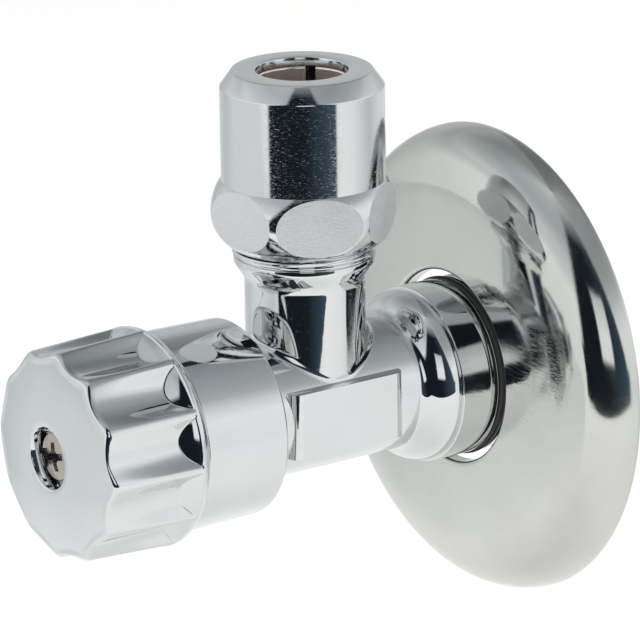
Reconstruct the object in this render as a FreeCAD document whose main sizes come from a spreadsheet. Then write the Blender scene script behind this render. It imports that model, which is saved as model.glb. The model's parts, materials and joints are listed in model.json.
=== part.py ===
import FreeCAD, Part
import math
import os
import re

import Sketcher

# Angle valve for a basin or cistern, in millimetres.
# The origin is on the barrel's axis in the wall plane, +Y points into the wall,
# the handle is at -Y and the outlet points up along +Z.

Vector = FreeCAD.Vector

# Driving dimensions: name, value, what it is
SIZES = [
    # wall side
    ("inlet_stub", 8.0, "inlet thread that stands out behind the wall plane"),
    ("inlet_thread_radius", 10.48, "half of the half inch pipe thread's outside"),
    ("inlet_bore_radius", 7.2, "waterway in the inlet"),
    ("thread_chamfer", 0.8, "chamfer at the start of both pipe threads"),
    ("seal_groove_back", 5.4, "wall plane to the back of the ring groove"),
    ("seal_groove_width", 2.3, "width of the ring groove behind the collar"),
    ("seal_groove_radius", 9.4, "floor of the ring groove"),
    ("seal_section_radius", 0.88, "half the thickness of the ring in the groove"),
    # body
    ("collar_radius", 10.42, "round collar that meets the rosette"),
    ("collar_width", 4.3, "length of the collar"),
    ("collar_edge", 0.9, "rounding of the collar's back edge"),
    ("bead_radius", 10.15, "largest radius of the bead in front of the collar"),
    ("bead_width", 3.8, "length of the bead"),
    ("bead_drop", 0.85, "how far the bead falls towards the barrel"),
    ("waist_width", 3.9, "length of the hollow curve from bead to barrel"),
    ("barrel_radius", 8.0, "outside of the barrel"),
    ("outlet_reach", 26.9, "wall plane to the outlet's axis"),
    ("flats_rise", 0.5, "how far a spanner flat stands out from the barrel, which makes 17 mm across"),
    ("flats_height", 7.8, "height of a spanner flat"),
    ("flats_length", 14.3, "length of a spanner flat"),
    ("flats_forward", 7.3, "outlet axis to the front end of a flat"),
    ("flats_edge", 0.9, "rounding of a flat's edges"),
    ("flange_back", 37.6, "wall plane to the back of the barrel's front flange"),
    ("flange_radius", 10.6, "barrel's front flange, under the sleeve"),
    ("flange_length", 6.4, "length of the front flange"),
    ("seat_back", 16.5, "wall plane to the end of the inlet bore"),
    ("seat_front", 19.8, "wall plane to the seat's face"),
    ("seat_bore_radius", 4.6, "hole in the seat"),
    ("seat_lip_radius", 5.3, "outside of the raised seat lip"),
    ("seat_lip_height", 0.6, "height of the seat lip"),
    ("chamber_radius", 6.4, "bore of the barrel in front of the seat"),
    ("socket_depth", 4.8, "depth of the screwed socket for the headpart"),
    ("socket_radius", 8.02, "bore of the screwed socket"),
    # outlet
    ("neck_radius", 6.95, "outside of the outlet neck"),
    ("neck_blend", 1.4, "rounding where the neck meets the barrel"),
    ("neck_top", 15.45, "valve axis to the start of the neck's cone"),
    ("ledge_radius", 8.17, "ledge under the outlet thread"),
    ("ledge_bottom", 16.93, "valve axis to the ledge"),
    ("ledge_height", 0.77, "thickness of the ledge"),
    ("undercut_radius", 7.85, "groove between ledge and thread"),
    ("undercut_height", 0.35, "height of that groove"),
    ("outlet_thread_radius", 8.3, "half of the outlet thread's outside"),
    ("outlet_top", 27.0, "valve axis to the end of the outlet"),
    ("outlet_bore_radius", 4.3, "waterway in the neck"),
    ("tube_radius", 5.0, "half of the copper tube's outside"),
    ("tube_play", 0.15, "radial play round the tube"),
    ("tube_stop", 17.0, "valve axis to the tube's stop"),
    ("mouth_radius", 6.6, "wide end of the cone in the outlet's mouth"),
    ("mouth_depth", 3.4, "depth of that cone"),
    # compression nut and what it presses on the tube
    ("nut_bottom", 18.9, "valve axis to the nut's lower face"),
    ("nut_across", 19.0, "across the nut's flats"),
    ("hexagon_middle", 23.1, "valve axis to the middle of the hexagon"),
    ("hexagon_corner_radius", 10.75, "radius that the hexagon's corners are turned to"),
    ("hexagon_crown", 5.1, "radius of the curve turned over the corners"),
    ("hexagon_turn", -23.7, "direction that one flat of the nut faces, in degrees"),
    ("nut_skirt_radius", 9.4, "nut's cylinder"),
    ("nut_bevel_height", 1.87, "height of the bevel at the nut's top"),
    ("nut_bevel_width", 1.37, "width of that bevel"),
    ("nut_mouth_radius", 5.3, "edge of the nut's mouth"),
    ("nut_mouth_height", 1.0, "thickness of the nut's top wall"),
    ("thread_play", 0.08, "radial play in the screwed joints that turn"),
    ("nut_thread_over", 1.4, "end of the outlet to the end of the nut's thread"),
    ("nut_bore_radius", 7.62, "nut's bore above the thread"),
    ("clamp_height", 7.11, "height of the split ring"),
    ("clamp_straight", 2.3, "height of the split ring's straight part"),
    ("clamp_top_radius", 5.95, "split ring's outside at its top"),
    ("clamp_slot", 1.36, "width of the slot in the split ring"),
    ("clamp_slot_turn", 134.4, "direction of the slot, in degrees"),
    ("ring_play", 0.09, "play between the loose rings in the nut"),
    ("thrust_height", 0.9, "thickness of the flat ring"),
    ("rubber_height", 2.7, "height of the rubber ring above the mouth"),
    ("rubber_slack", 0.32, "free height above the rubber ring before the nut is tightened"),
    # rosette
    ("rosette_radius", 28.0, "outside of the rosette"),
    ("rosette_depth", 7.1, "wall plane to the rosette's front"),
    ("rosette_dome", 0.3, "rise of the rosette's front towards its hole"),
    ("rosette_rim_curve", 6.6, "radius of the rosette's rounded rim"),
    ("rosette_sheet", 0.8, "thickness of the rosette's sheet"),
    ("rosette_hole_radius", 11.5, "hole round the collar"),
    ("rosette_lip", 1.9, "depth of the turned-in edge of the hole"),
    ("rosette_lip_curve", 0.6, "rounding of that edge"),
    # headpart
    ("tail_back", 32.0, "wall plane to the back of the housing"),
    ("tail_play", 0.1, "radial play of the housing's tail in the barrel"),
    ("housing_seal_height", 0.8, "thickness of the flat ring in the socket"),
    ("piston_bore_radius", 5.3, "round bore of the housing"),
    ("guide_back", 38.8, "wall plane to the hexagon guide"),
    ("guide_across", 9.0, "across the flats of the hexagon guide"),
    ("bearing_back", 46.5, "wall plane to the spindle's bearing"),
    ("bearing_radius", 3.55, "bore of the spindle's bearing"),
    ("housing_hexagon", 18.0, "across the housing's hexagon"),
    ("housing_hexagon_length", 2.8, "length of the housing's hexagon"),
    ("nose_radius", 6.4, "outside of the housing's nose"),
    ("nose_front", 52.5, "wall plane to the front of the housing"),
    ("face_play", 0.05, "gap between flat faces that meet"),
    # spindle
    ("spindle_radius", 3.5, "spindle in its bearing"),
    ("spindle_collar_radius", 4.4, "spindle's collar"),
    ("spindle_collar_width", 1.1, "width of the collar"),
    ("thrust_washer_height", 0.44, "thickness of the slide washer"),
    ("screw_radius", 2.95, "screw of the spindle"),
    ("screw_length", 10.4, "length of that screw"),
    ("spindle_ring_radius", 0.5, "half the thickness of the spindle's rings"),
    ("spindle_groove_depth", 1.05, "depth of the grooves for them"),
    ("spindle_groove_width", 1.2, "width of those grooves"),
    ("rear_ring_place", 48.3, "wall plane to the rear ring"),
    ("front_ring_place", 50.4, "wall plane to the front ring"),
    ("clip_groove_radius", 3.0, "floor of the clip's groove"),
    ("clip_thickness", 0.5, "thickness of the clip"),
    ("clip_radius", 5.0, "outside of the clip"),
    ("clip_gap", 3.2, "opening of the clip"),
    ("square_back", 53.7, "wall plane to the start of the square"),
    ("recess_wall", 1.6, "screw's recess floor to the end of the spindle"),
    ("square_across", 4.9, "across the spindle's square"),
    # piston and seat washer
    ("washer_radius", 5.6, "rubber disc on the seat"),
    ("washer_height", 3.0, "thickness of that disc"),
    ("washer_gap", 0.1, "gap from disc to seat when shut"),
    ("cup_wall", 0.4, "wall of the cup round the disc"),
    ("cup_depth", 1.8, "depth of the cup"),
    ("cup_floor", 1.9, "thickness of the cup's floor"),
    ("stem_radius", 4.3, "piston's stem"),
    ("piston_back", 32.2, "wall plane to the piston's sealing part, when shut"),
    ("piston_length", 2.6, "length of that part"),
    ("piston_radius", 5.2, "outside of that part"),
    ("piston_groove_depth", 1.0, "depth of its ring groove"),
    ("piston_groove_width", 1.2, "width of its ring groove"),
    ("piston_ring_radius", 0.5, "half the thickness of its ring"),
    ("guide_play", 0.1, "play of the piston's hexagon in its guide"),
    ("piston_front", 40.7, "wall plane to the piston's front end, when shut"),
    ("piston_bore_back", 28.0, "wall plane to the end of the piston's thread"),
    ("washer_screw_radius", 1.7, "screw that holds the disc"),
    ("washer_screw_head", 2.8, "head of that screw"),
    ("washer_screw_head_height", 1.3, "height of that head"),
    ("washer_screw_length", 6.4, "length of that screw"),
    ("snug_play", 0.03, "radial play of still screws and bores"),
    # sleeve
    ("sleeve_back", 37.1, "wall plane to the back of the sleeve"),
    ("sleeve_front", 48.0, "wall plane to the front of the sleeve"),
    ("sleeve_back_radius", 11.42, "outside of the sleeve at its back"),
    ("sleeve_front_radius", 11.62, "outside of the sleeve at its front"),
    ("sleeve_bore_radius", 10.66, "inside of the sleeve"),
    ("sleeve_edge", 0.45, "rounding of the sleeve's back edge"),
    # handle
    ("handle_gap", 0.2, "gap between sleeve and handle"),
    ("handle_front", 62.1, "wall plane to the front of the handle"),
    ("handle_dome", 1.05, "rise of the handle's face"),
    ("handle_front_radius", 12.28, "ridges of the handle at its front"),
    ("handle_back_radius", 12.75, "ridges of the handle at its back"),
    ("front_curve", 0.9, "rounding of the handle's front edge"),
    ("handle_back_edge", 1.3, "length of the rounding at the handle's back"),
    ("handle_back_step", 0.9, "width of the rounding at the handle's back"),
    ("handle_cavity_radius", 9.6, "hollow of the handle"),
    ("handle_wall", 2.6, "thickness of the handle's front wall at its edge"),
    ("hub_radius", 5.6, "hub inside the handle"),
    ("recess_radius", 3.55, "hole in the handle's face"),
    ("recess_depth", 2.6, "depth of that hole"),
    ("flute_count", 12, "flutes round the handle"),
    ("flute_radius", 3.5, "radius of a flute's section"),
    ("flute_floor", 10.95, "handle's axis to the floor of a flute"),
    ("flute_end", 51.5, "wall plane to the deep end of a flute, where its run-out starts"),
    ("flute_turn", 12.5, "direction of the first flute, in degrees"),
    ("handle_screw_radius", 1.75, "handle screw's shank"),
    ("handle_screw_head", 2.75, "handle screw's head"),
    ("handle_screw_head_height", 1.9, "height of that head"),
    ("handle_screw_dome", 0.35, "rise of the head's dome"),
    ("handle_screw_length", 7.2, "length under the head"),
    ("cross_length", 4.0, "arms of the cross recess, tip to tip"),
    ("cross_width", 0.9, "width of an arm"),
    ("cross_depth", 1.1, "depth of the cross recess"),
]

doc = FreeCAD.newDocument("AngleValve")
sheet = doc.addObject("Spreadsheet::Sheet", "Sizes")
for row, (name, number, meaning) in enumerate(SIZES, start=1):
    sheet.set(f"A{row}", name)
    sheet.set(f"B{row}", str(number))
    sheet.set(f"C{row}", meaning)
    sheet.setAlias(f"B{row}", name)
doc.recompute()

NAMES = {name for name, number, meaning in SIZES}
SUB_PARTS = []

# Places along the valve's axis and the outlet's axis, from the driving dimensions
COLLAR_BACK = "-(seal_groove_back + seal_groove_width)"
COLLAR_FRONT = f"{COLLAR_BACK} - collar_width"
BEAD_FRONT = f"{COLLAR_FRONT} - bead_width"
WAIST_FRONT = f"{BEAD_FRONT} - waist_width"
WAIST_RISE = "(bead_radius - bead_drop - barrel_radius)"
FLANGE_FRONT = "-(flange_back + flange_length)"
SOCKET_BACK = f"{FLANGE_FRONT} + socket_depth"
SHUT_FACE = "-(seat_front + washer_gap)"
CUP_FLOOR = f"{SHUT_FACE} - washer_height - face_play"
CUP_FRONT = f"{CUP_FLOOR} - cup_floor"
TUBE_HOLE = "tube_radius + tube_play"
HANDLE_BACK = "-(sleeve_front + handle_gap)"
HUB_BACK = "-(square_back + face_play)"
RECESS_FLOOR = "-(handle_front - recess_depth)"
SQUARE_FRONT = "(handle_front - recess_depth - recess_wall)"
LEDGE_TOP = "ledge_bottom + ledge_height"
NUT_THREAD_TOP = "(outlet_top + nut_thread_over)"
CLAMP_FOOT = "(outlet_top + rubber_height + rubber_slack + thrust_height + 2 * ring_play)"
NUT_TOP = f"({CLAMP_FOOT} + clamp_height + ring_play + nut_mouth_height)"


def tied(text):
    """An expression for the document, with each size read from the sheet."""
    return re.sub(r"[a-z_]+", lambda word: f"Sizes.{word[0]}" if word[0] in NAMES else word[0], text)


def number(text):
    """The present value of an expression."""
    return float(sheet.evalExpression(tied(text)))


def new_body(label):
    body = doc.addObject("PartDesign::Body", label)
    body.Label = label
    return body


def origin_feature(body, role):
    return next(feature for feature in body.Origin.OriginFeatures if feature.Role == role)


def new_sketch(body, plane, name, offset=None):
    sketch = body.newObject("Sketcher::SketchObject", name)
    sketch.AttachmentSupport = [(origin_feature(body, plane), "")]
    sketch.MapMode = "FlatFace"
    if offset:
        sketch.setExpression("AttachmentOffset.Base.z", tied(offset))
    return sketch


def curve_between(start, end, radius):
    """A short arc; a positive radius has its centre on the left of the way from start to end."""
    chord = end - start
    middle = (start + end) * 0.5
    left = Vector(-chord.y, chord.x, 0).normalize()
    rise = math.sqrt(max(radius * radius - chord.Length ** 2 / 4, 0))
    centre = middle + left * (rise if radius > 0 else -rise)
    first, last = (start, end) if radius > 0 else (end, start)
    angles = [math.atan2(point.y - centre.y, point.x - centre.x) for point in (first, last)]
    return Part.ArcOfCircle(Part.Circle(centre, Vector(0, 0, 1), abs(radius)), *angles)


def draw_outline(sketch, corners):
    """A closed outline whose corners are pairs of expressions; a third one bends the side before it."""
    places = [Vector(number(corner[0]), number(corner[1]), 0) for corner in corners]
    sides = []
    for index, corner in enumerate(corners):
        start, end = places[index - 1], places[index]
        if len(corner) == 3:
            radius = number(corner[2])
            side = sketch.addGeometry(curve_between(start, end, radius), False)
            ends = (1, 2) if radius > 0 else (2, 1)
            hold = sketch.addConstraint(Sketcher.Constraint("Radius", side, abs(radius)))
            sketch.setExpression(f"Constraints[{hold}]", tied(corner[2].lstrip("-")))
        else:
            side = sketch.addGeometry(Part.LineSegment(start, end), False)
            ends = (1, 2)
        sides.append((side, ends))
    for index, (side, ends) in enumerate(sides):
        following, following_ends = sides[(index + 1) % len(sides)]
        sketch.addConstraint(Sketcher.Constraint("Coincident", side, ends[1], following, following_ends[0]))
        for kind, axis, text, length in (
            ("DistanceX", -2, corners[index][0], places[index].x),
            ("DistanceY", -1, corners[index][1], places[index].y),
        ):
            if text == "0":
                sketch.addConstraint(Sketcher.Constraint("PointOnObject", side, ends[1], axis))
            else:
                hold = sketch.addConstraint(Sketcher.Constraint(kind, -1, 1, side, ends[1], length))
                sketch.setExpression(f"Constraints[{hold}]", tied(text))


def turned(body, name, corners, kind="PartDesign::Revolution", plane="XY_Plane", turn_line=None):
    """A full turn of an outline about the sketch's upright axis, or about an upright line beside it."""
    sketch = new_sketch(body, plane, f"{name}_outline")
    draw_outline(sketch, corners)
    axis = "V_Axis"
    if turn_line:
        across = number(turn_line)
        line = sketch.addGeometry(Part.LineSegment(Vector(across, 0, 0), Vector(across, 10, 0)), True)
        sketch.addConstraint(Sketcher.Constraint("Vertical", line))
        sketch.addConstraint(Sketcher.Constraint("PointOnObject", line, 1, -1))
        hold = sketch.addConstraint(Sketcher.Constraint("DistanceX", -1, 1, line, 1, across))
        sketch.setExpression(f"Constraints[{hold}]", tied(turn_line))
        hold = sketch.addConstraint(Sketcher.Constraint("DistanceY", line, 1, line, 2, 10))
        axis = "Axis0"
    feature = body.newObject(kind, name)
    feature.Profile = sketch
    feature.ReferenceAxis = (sketch, [axis])
    feature.Angle = 360
    doc.recompute()
    return feature


def grooved(body, name, corners, **choices):
    return turned(body, name, corners, kind="PartDesign::Groove", **choices)


def pushed(body, kind, name, plane, corners, length, offset=None, both_ways=False, back=False):
    """A pad or a pocket of an outline."""
    sketch = new_sketch(body, plane, f"{name}_outline", offset)
    draw_outline(sketch, corners)
    feature = body.newObject(kind, name)
    feature.Profile = sketch
    feature.setExpression("Length", tied(length))
    feature.SideType = "Symmetric" if both_ways else "One side"
    feature.Reversed = back
    doc.recompute()
    return feature


def rectangle(left, right, low, high):
    return [(left, low), (right, low), (right, high), (left, high)]


def polygon(across, sides):
    """Corners of a regular outline, one flat facing along the sketch's first axis."""
    step = 360 / sides
    reach = f"({across}) / 2 / cos({step / 2})"
    return [
        (f"({reach}) * cos({step * (k + 0.5)})", f"({reach}) * sin({step * (k + 0.5)})")
        for k in range(sides)
    ]


def rounded(body, name, base, radius, wanted):
    """Fillets on the edges that the test picks."""
    doc.recompute()
    edges = [f"Edge{k}" for k, edge in enumerate(base.Shape.Edges, start=1) if wanted(edge)]
    fillet = body.newObject("PartDesign::Fillet", name)
    fillet.Base = (base, edges)
    fillet.setExpression("Radius", tied(radius))
    doc.recompute()
    return fillet


def along(edge, test):
    """True if five points along the edge all pass the test."""
    first, last = edge.ParameterRange
    return all(test(edge.valueAt(first + (last - first) * part)) for part in (0.1, 0.3, 0.5, 0.7, 0.9))


def near(one, other, slack=0.02):
    return abs(one - other) < slack


def finished(piece, label):
    """Marks an object as one of the valve's pieces."""
    piece.Label = label
    SUB_PARTS.append(piece)
    return piece


def turn_with_flutes(body):
    """Turns a piece about the valve's axis, so that the spindle's square and the flutes stay in line."""
    body.Placement.Rotation = FreeCAD.Rotation(Vector(0, -1, 0), number("flute_turn"))
    body.setExpression("Placement.Rotation.Angle", tied("flute_turn"))


def ring(label, inner, outer, back, front, about_outlet=False):
    """A flat ring from its inner and outer radius and its two faces."""
    body = new_body(label)
    plane = "XZ_Plane" if about_outlet else "XY_Plane"
    turned(body, f"{label}_turn", rectangle(inner, outer, back, front), plane=plane)
    if about_outlet:
        body.setExpression("Placement.Base.y", tied("-outlet_reach"))
    return finished(body, label)


def round_ring(label, middle_radius, section_radius, place):
    """A ring of round section about the valve's axis."""
    torus = doc.addObject("Part::Torus", label)
    torus.setExpression("Radius1", tied(middle_radius))
    torus.setExpression("Radius2", tied(section_radius))
    torus.Placement = FreeCAD.Placement(Vector(), FreeCAD.Rotation(Vector(1, 0, 0), 90))
    torus.setExpression("Placement.Base.y", tied(place))
    return finished(torus, label)


def build_valve_body():
    waist_curve = f"-({WAIST_RISE} ^ 2 + waist_width ^ 2) / (2 * {WAIST_RISE})"
    body = new_body("valve_body")
    flats = pushed(body, "PartDesign::Pad", "spanner_flats", "YZ_Plane", rectangle(
        "-(outlet_reach + flats_forward)", "flats_length - outlet_reach - flats_forward",
        "-flats_height / 2", "flats_height / 2",
    ), "2 * (barrel_radius + flats_rise)", both_ways=True)
    rounded(body, "flats_rim", flats, "flats_edge", lambda edge: True)
    turned(body, "barrel", [
        ("0", "inlet_stub"),
        ("0", FLANGE_FRONT),
        ("flange_radius", FLANGE_FRONT),
        ("flange_radius", "-flange_back"),
        ("barrel_radius", "-flange_back"),
        ("barrel_radius", WAIST_FRONT),
        ("bead_radius - bead_drop", BEAD_FRONT, waist_curve),
        ("bead_radius", COLLAR_FRONT, "bead_width * 1.6"),
        ("collar_radius", COLLAR_FRONT),
        ("collar_radius", f"{COLLAR_BACK} - collar_edge"),
        ("collar_radius - collar_edge", COLLAR_BACK, "collar_edge"),
        ("seal_groove_radius", COLLAR_BACK),
        ("seal_groove_radius", "-seal_groove_back"),
        ("inlet_thread_radius", "-seal_groove_back"),
        ("inlet_thread_radius", "inlet_stub - thread_chamfer"),
        ("inlet_thread_radius - thread_chamfer", "inlet_stub"),
    ])
    neck = turned(body, "neck", [
        ("-outlet_reach", "0"),
        ("-outlet_reach + neck_radius", "0"),
        ("-outlet_reach + neck_radius", "neck_top"),
        ("-outlet_reach + ledge_radius", "ledge_bottom"),
        ("-outlet_reach + ledge_radius", LEDGE_TOP),
        ("-outlet_reach + undercut_radius", LEDGE_TOP),
        ("-outlet_reach + undercut_radius", f"{LEDGE_TOP} + undercut_height"),
        ("-outlet_reach + outlet_thread_radius", f"{LEDGE_TOP} + undercut_height"),
        ("-outlet_reach + outlet_thread_radius", "outlet_top - thread_chamfer"),
        ("-outlet_reach + outlet_thread_radius - thread_chamfer", "outlet_top"),
        ("-outlet_reach", "outlet_top"),
    ], plane="YZ_Plane", turn_line="-outlet_reach")

    outlet_y = number("-outlet_reach")
    neck_radius = number("neck_radius")
    barrel_radius = number("barrel_radius")

    def on_saddle(point):
        beside_outlet = math.hypot(point.x, point.y - outlet_y)
        beside_valve = math.hypot(point.x, point.z)
        return point.z > 0 and near(beside_outlet, neck_radius) and near(beside_valve, barrel_radius)

    rounded(body, "neck_root", neck, "neck_blend", lambda edge: along(edge, on_saddle))
    grooved(body, "waterway", [
        ("0", "inlet_stub + 1"),
        ("0", f"{FLANGE_FRONT} - 1"),
        ("socket_radius", f"{FLANGE_FRONT} - 1"),
        ("socket_radius", SOCKET_BACK),
        ("chamber_radius", SOCKET_BACK),
        ("chamber_radius", "-seat_front + seat_lip_height"),
        ("seat_lip_radius", "-seat_front + seat_lip_height"),
        ("seat_lip_radius", "-seat_front"),
        ("seat_bore_radius", "-seat_front"),
        ("seat_bore_radius", "-seat_back"),
        ("inlet_bore_radius", "-seat_back"),
        ("inlet_bore_radius", "inlet_stub + 1"),
    ])
    grooved(body, "outlet_bore", [
        ("-outlet_reach", "0"),
        ("-outlet_reach + outlet_bore_radius", "0"),
        ("-outlet_reach + outlet_bore_radius", "tube_stop"),
        (f"-outlet_reach + {TUBE_HOLE}", "tube_stop"),
        (f"-outlet_reach + {TUBE_HOLE}", "outlet_top - mouth_depth"),
        ("-outlet_reach + mouth_radius", "outlet_top"),
        ("-outlet_reach + mouth_radius", "outlet_top + 1"),
        ("-outlet_reach", "outlet_top + 1"),
    ], plane="YZ_Plane", turn_line="-outlet_reach")
    return finished(body, "valve_body")


def build_rosette():
    body = new_body("rosette")
    shoulder = "rosette_radius - rosette_rim_curve"
    front = "-(rosette_depth - rosette_dome)"
    turned(body, "pressed_sheet", [
        ("rosette_hole_radius", "-(rosette_depth - rosette_lip)"),
        ("rosette_hole_radius", "-(rosette_depth - rosette_lip_curve)"),
        ("rosette_hole_radius + rosette_lip_curve", "-rosette_depth", "rosette_lip_curve"),
        (shoulder, front),
        ("rosette_radius", f"{front} + rosette_rim_curve", "rosette_rim_curve"),
        ("rosette_radius", "0"),
        ("rosette_radius - rosette_sheet", "0"),
        ("rosette_radius - rosette_sheet", f"{front} + rosette_rim_curve"),
        (shoulder, f"{front} + rosette_sheet", "-(rosette_rim_curve - rosette_sheet)"),
        ("rosette_hole_radius + rosette_sheet", "-(rosette_depth - rosette_sheet)"),
        ("rosette_hole_radius + rosette_sheet", "-(rosette_depth - rosette_lip)"),
    ])
    return finished(body, "rosette")


def build_compression_nut():
    crown_centre = "hexagon_corner_radius - hexagon_crown"
    skirt_foot = f"hexagon_middle + sqrt(hexagon_crown ^ 2 - (nut_skirt_radius - ({crown_centre})) ^ 2)"
    foot_radius = f"{crown_centre} + sqrt(hexagon_crown ^ 2 - (hexagon_middle - nut_bottom) ^ 2)"
    thread_bore = "outlet_thread_radius + thread_play"
    body = new_body("compression_nut")
    turned(body, "nut_turning", [
        (thread_bore, "nut_bottom"),
        (foot_radius, "nut_bottom"),
        ("nut_skirt_radius", skirt_foot, "hexagon_crown"),
        ("nut_skirt_radius", f"{NUT_TOP} - nut_bevel_height"),
        ("nut_skirt_radius - nut_bevel_width", NUT_TOP),
        ("nut_mouth_radius", NUT_TOP),
        (f"{TUBE_HOLE} + ring_play", f"{NUT_TOP} - nut_mouth_height"),
        ("clamp_top_radius + ring_play", f"{NUT_TOP} - nut_mouth_height"),
        ("nut_bore_radius", f"{CLAMP_FOOT} + clamp_straight"),
        ("nut_bore_radius", NUT_THREAD_TOP),
        (thread_bore, NUT_THREAD_TOP),
    ], plane="XZ_Plane")
    hexagon = new_sketch(body, "XY_Plane", "hexagon_outline")
    draw_outline(hexagon, polygon("nut_across", 6))
    draw_outline(hexagon, polygon("2 * (hexagon_corner_radius + 2)", 4))
    cut = body.newObject("PartDesign::Pocket", "hexagon_flats")
    cut.Profile = hexagon
    cut.Type = "ThroughAll"
    cut.SideType = "Symmetric"
    doc.recompute()
    body.setExpression("Placement.Base.y", tied("-outlet_reach"))
    body.Placement.Rotation = FreeCAD.Rotation(Vector(0, 0, 1), number("hexagon_turn"))
    body.setExpression("Placement.Rotation.Angle", tied("hexagon_turn"))
    return finished(body, "compression_nut")


def build_clamp_ring():
    body = new_body("clamp_ring")
    turned(body, "clamp_turning", [
        (TUBE_HOLE, CLAMP_FOOT),
        ("nut_bore_radius - ring_play", CLAMP_FOOT),
        ("nut_bore_radius - ring_play", f"{CLAMP_FOOT} + clamp_straight - ring_play"),
        ("clamp_top_radius", f"{NUT_TOP} - nut_mouth_height - ring_play"),
        (TUBE_HOLE, f"{NUT_TOP} - nut_mouth_height - ring_play"),
    ], plane="XZ_Plane")
    pushed(
        body, "PartDesign::Pocket", "slot", "XY_Plane",
        rectangle("0", "nut_bore_radius + 1", "-clamp_slot / 2", "clamp_slot / 2"),
        f"2 * {NUT_TOP} + 2", both_ways=True,
    )
    body.setExpression("Placement.Base.y", tied("-outlet_reach"))
    body.Placement.Rotation = FreeCAD.Rotation(Vector(0, 0, 1), number("clamp_slot_turn"))
    body.setExpression("Placement.Rotation.Angle", tied("clamp_slot_turn"))
    return finished(body, "clamp_ring")


def build_rings_in_nut():
    thrust_foot = f"{CLAMP_FOOT} - ring_play - thrust_height"
    ring("thrust_ring", TUBE_HOLE, "nut_bore_radius - ring_play",
         thrust_foot, f"{CLAMP_FOOT} - ring_play", about_outlet=True)
    body = new_body("tube_seal")
    turned(body, "rubber_turning", [
        (TUBE_HOLE, "outlet_top - mouth_depth + 4 * ring_play"),
        (f"{TUBE_HOLE} + ring_play", "outlet_top - mouth_depth + 4 * ring_play"),
        ("mouth_radius - ring_play", "outlet_top + ring_play"),
        ("nut_bore_radius - ring_play", "outlet_top + ring_play"),
        ("nut_bore_radius - ring_play", "outlet_top + ring_play + rubber_height"),
        (TUBE_HOLE, "outlet_top + ring_play + rubber_height"),
    ], plane="XZ_Plane")
    body.setExpression("Placement.Base.y", tied("-outlet_reach"))
    finished(body, "tube_seal")


def build_headpart_housing():
    seal_front = f"{SOCKET_BACK} - housing_seal_height - 2 * face_play"
    hexagon_back = f"{FLANGE_FRONT} - 2 * face_play"
    body = new_body("headpart_housing")
    turned(body, "housing_turning", [
        ("piston_bore_radius", "-tail_back"),
        ("chamber_radius - tail_play", "-tail_back"),
        ("chamber_radius - tail_play", seal_front),
        ("socket_radius - face_play", seal_front),
        ("socket_radius - face_play", hexagon_back),
        ("nose_radius", hexagon_back),
        ("nose_radius", "-nose_front"),
        ("bearing_radius", "-nose_front"),
        ("bearing_radius", "-bearing_back"),
        ("guide_across / 2", "-bearing_back"),
        ("guide_across / 2", "-guide_back"),
        ("piston_bore_radius", "-guide_back"),
    ])
    pushed(
        body, "PartDesign::Pocket", "hexagon_guide", "XZ_Plane", polygon("guide_across", 6),
        "bearing_back - guide_back + face_play", offset="bearing_back",
    )
    wrench = new_sketch(body, "XZ_Plane", "wrench_outline", f"-({hexagon_back})")
    draw_outline(wrench, polygon("housing_hexagon", 6))
    draw_outline(wrench, polygon("2 * (nose_radius - face_play) * cos(15)", 12))
    pad = body.newObject("PartDesign::Pad", "wrench_hexagon")
    pad.Profile = wrench
    pad.setExpression("Length", tied("housing_hexagon_length"))
    doc.recompute()
    finished(body, "headpart_housing")
    ring("housing_seal", "chamber_radius + face_play", "socket_radius - face_play",
         f"{SOCKET_BACK} - face_play", f"{SOCKET_BACK} - face_play - housing_seal_height")


def build_spindle():
    collar_back = "-(bearing_back - thrust_washer_height - 2 * face_play - spindle_collar_width)"
    collar_front = f"{collar_back} - spindle_collar_width"
    groove_floor = "spindle_radius - spindle_groove_depth"
    corners = [
        ("0", f"{collar_back} + screw_length"),
        ("0", "-square_back"),
        ("spindle_radius", "-square_back"),
        ("spindle_radius", "-(nose_front + 3 * face_play + clip_thickness)"),
        ("clip_groove_radius", "-(nose_front + 3 * face_play + clip_thickness)"),
        ("clip_groove_radius", "-(nose_front + face_play)"),
        ("spindle_radius", "-(nose_front + face_play)"),
    ]
    for place in ("front_ring_place", "rear_ring_place"):
        corners += [
            ("spindle_radius", f"-({place} + spindle_groove_width / 2)"),
            (groove_floor, f"-({place} + spindle_groove_width / 2)"),
            (groove_floor, f"-({place} - spindle_groove_width / 2)"),
            ("spindle_radius", f"-({place} - spindle_groove_width / 2)"),
        ]
    corners += [
        ("spindle_radius", collar_front),
        ("spindle_collar_radius", collar_front),
        ("spindle_collar_radius", collar_back),
        ("screw_radius", collar_back),
        ("screw_radius", f"{collar_back} + screw_length"),
    ]
    body = new_body("spindle")
    turned(body, "spindle_turning", corners)
    pushed(
        body, "PartDesign::Pad", "square_end", "XZ_Plane", polygon("square_across", 4),
        f"{SQUARE_FRONT} - square_back", offset="square_back",
    )
    grooved(body, "screw_hole", [
        ("0", f"-({SQUARE_FRONT} + 1)"),
        ("0", f"{RECESS_FLOOR} + handle_screw_length + 4 * face_play"),
        ("handle_screw_radius + snug_play", f"{RECESS_FLOOR} + handle_screw_length + 4 * face_play"),
        ("handle_screw_radius + snug_play", f"-({SQUARE_FRONT} + 1)"),
    ])
    turn_with_flutes(body)
    finished(body, "spindle")
    ring("thrust_washer", "spindle_radius + face_play", "spindle_collar_radius",
         f"{collar_front} - face_play", f"{collar_front} - face_play - thrust_washer_height")
    for end in ("rear", "front"):
        round_ring(f"spindle_seal_{end}", f"{groove_floor} + spindle_ring_radius + face_play / 2",
                   "spindle_ring_radius", f"-{end}_ring_place")


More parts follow.
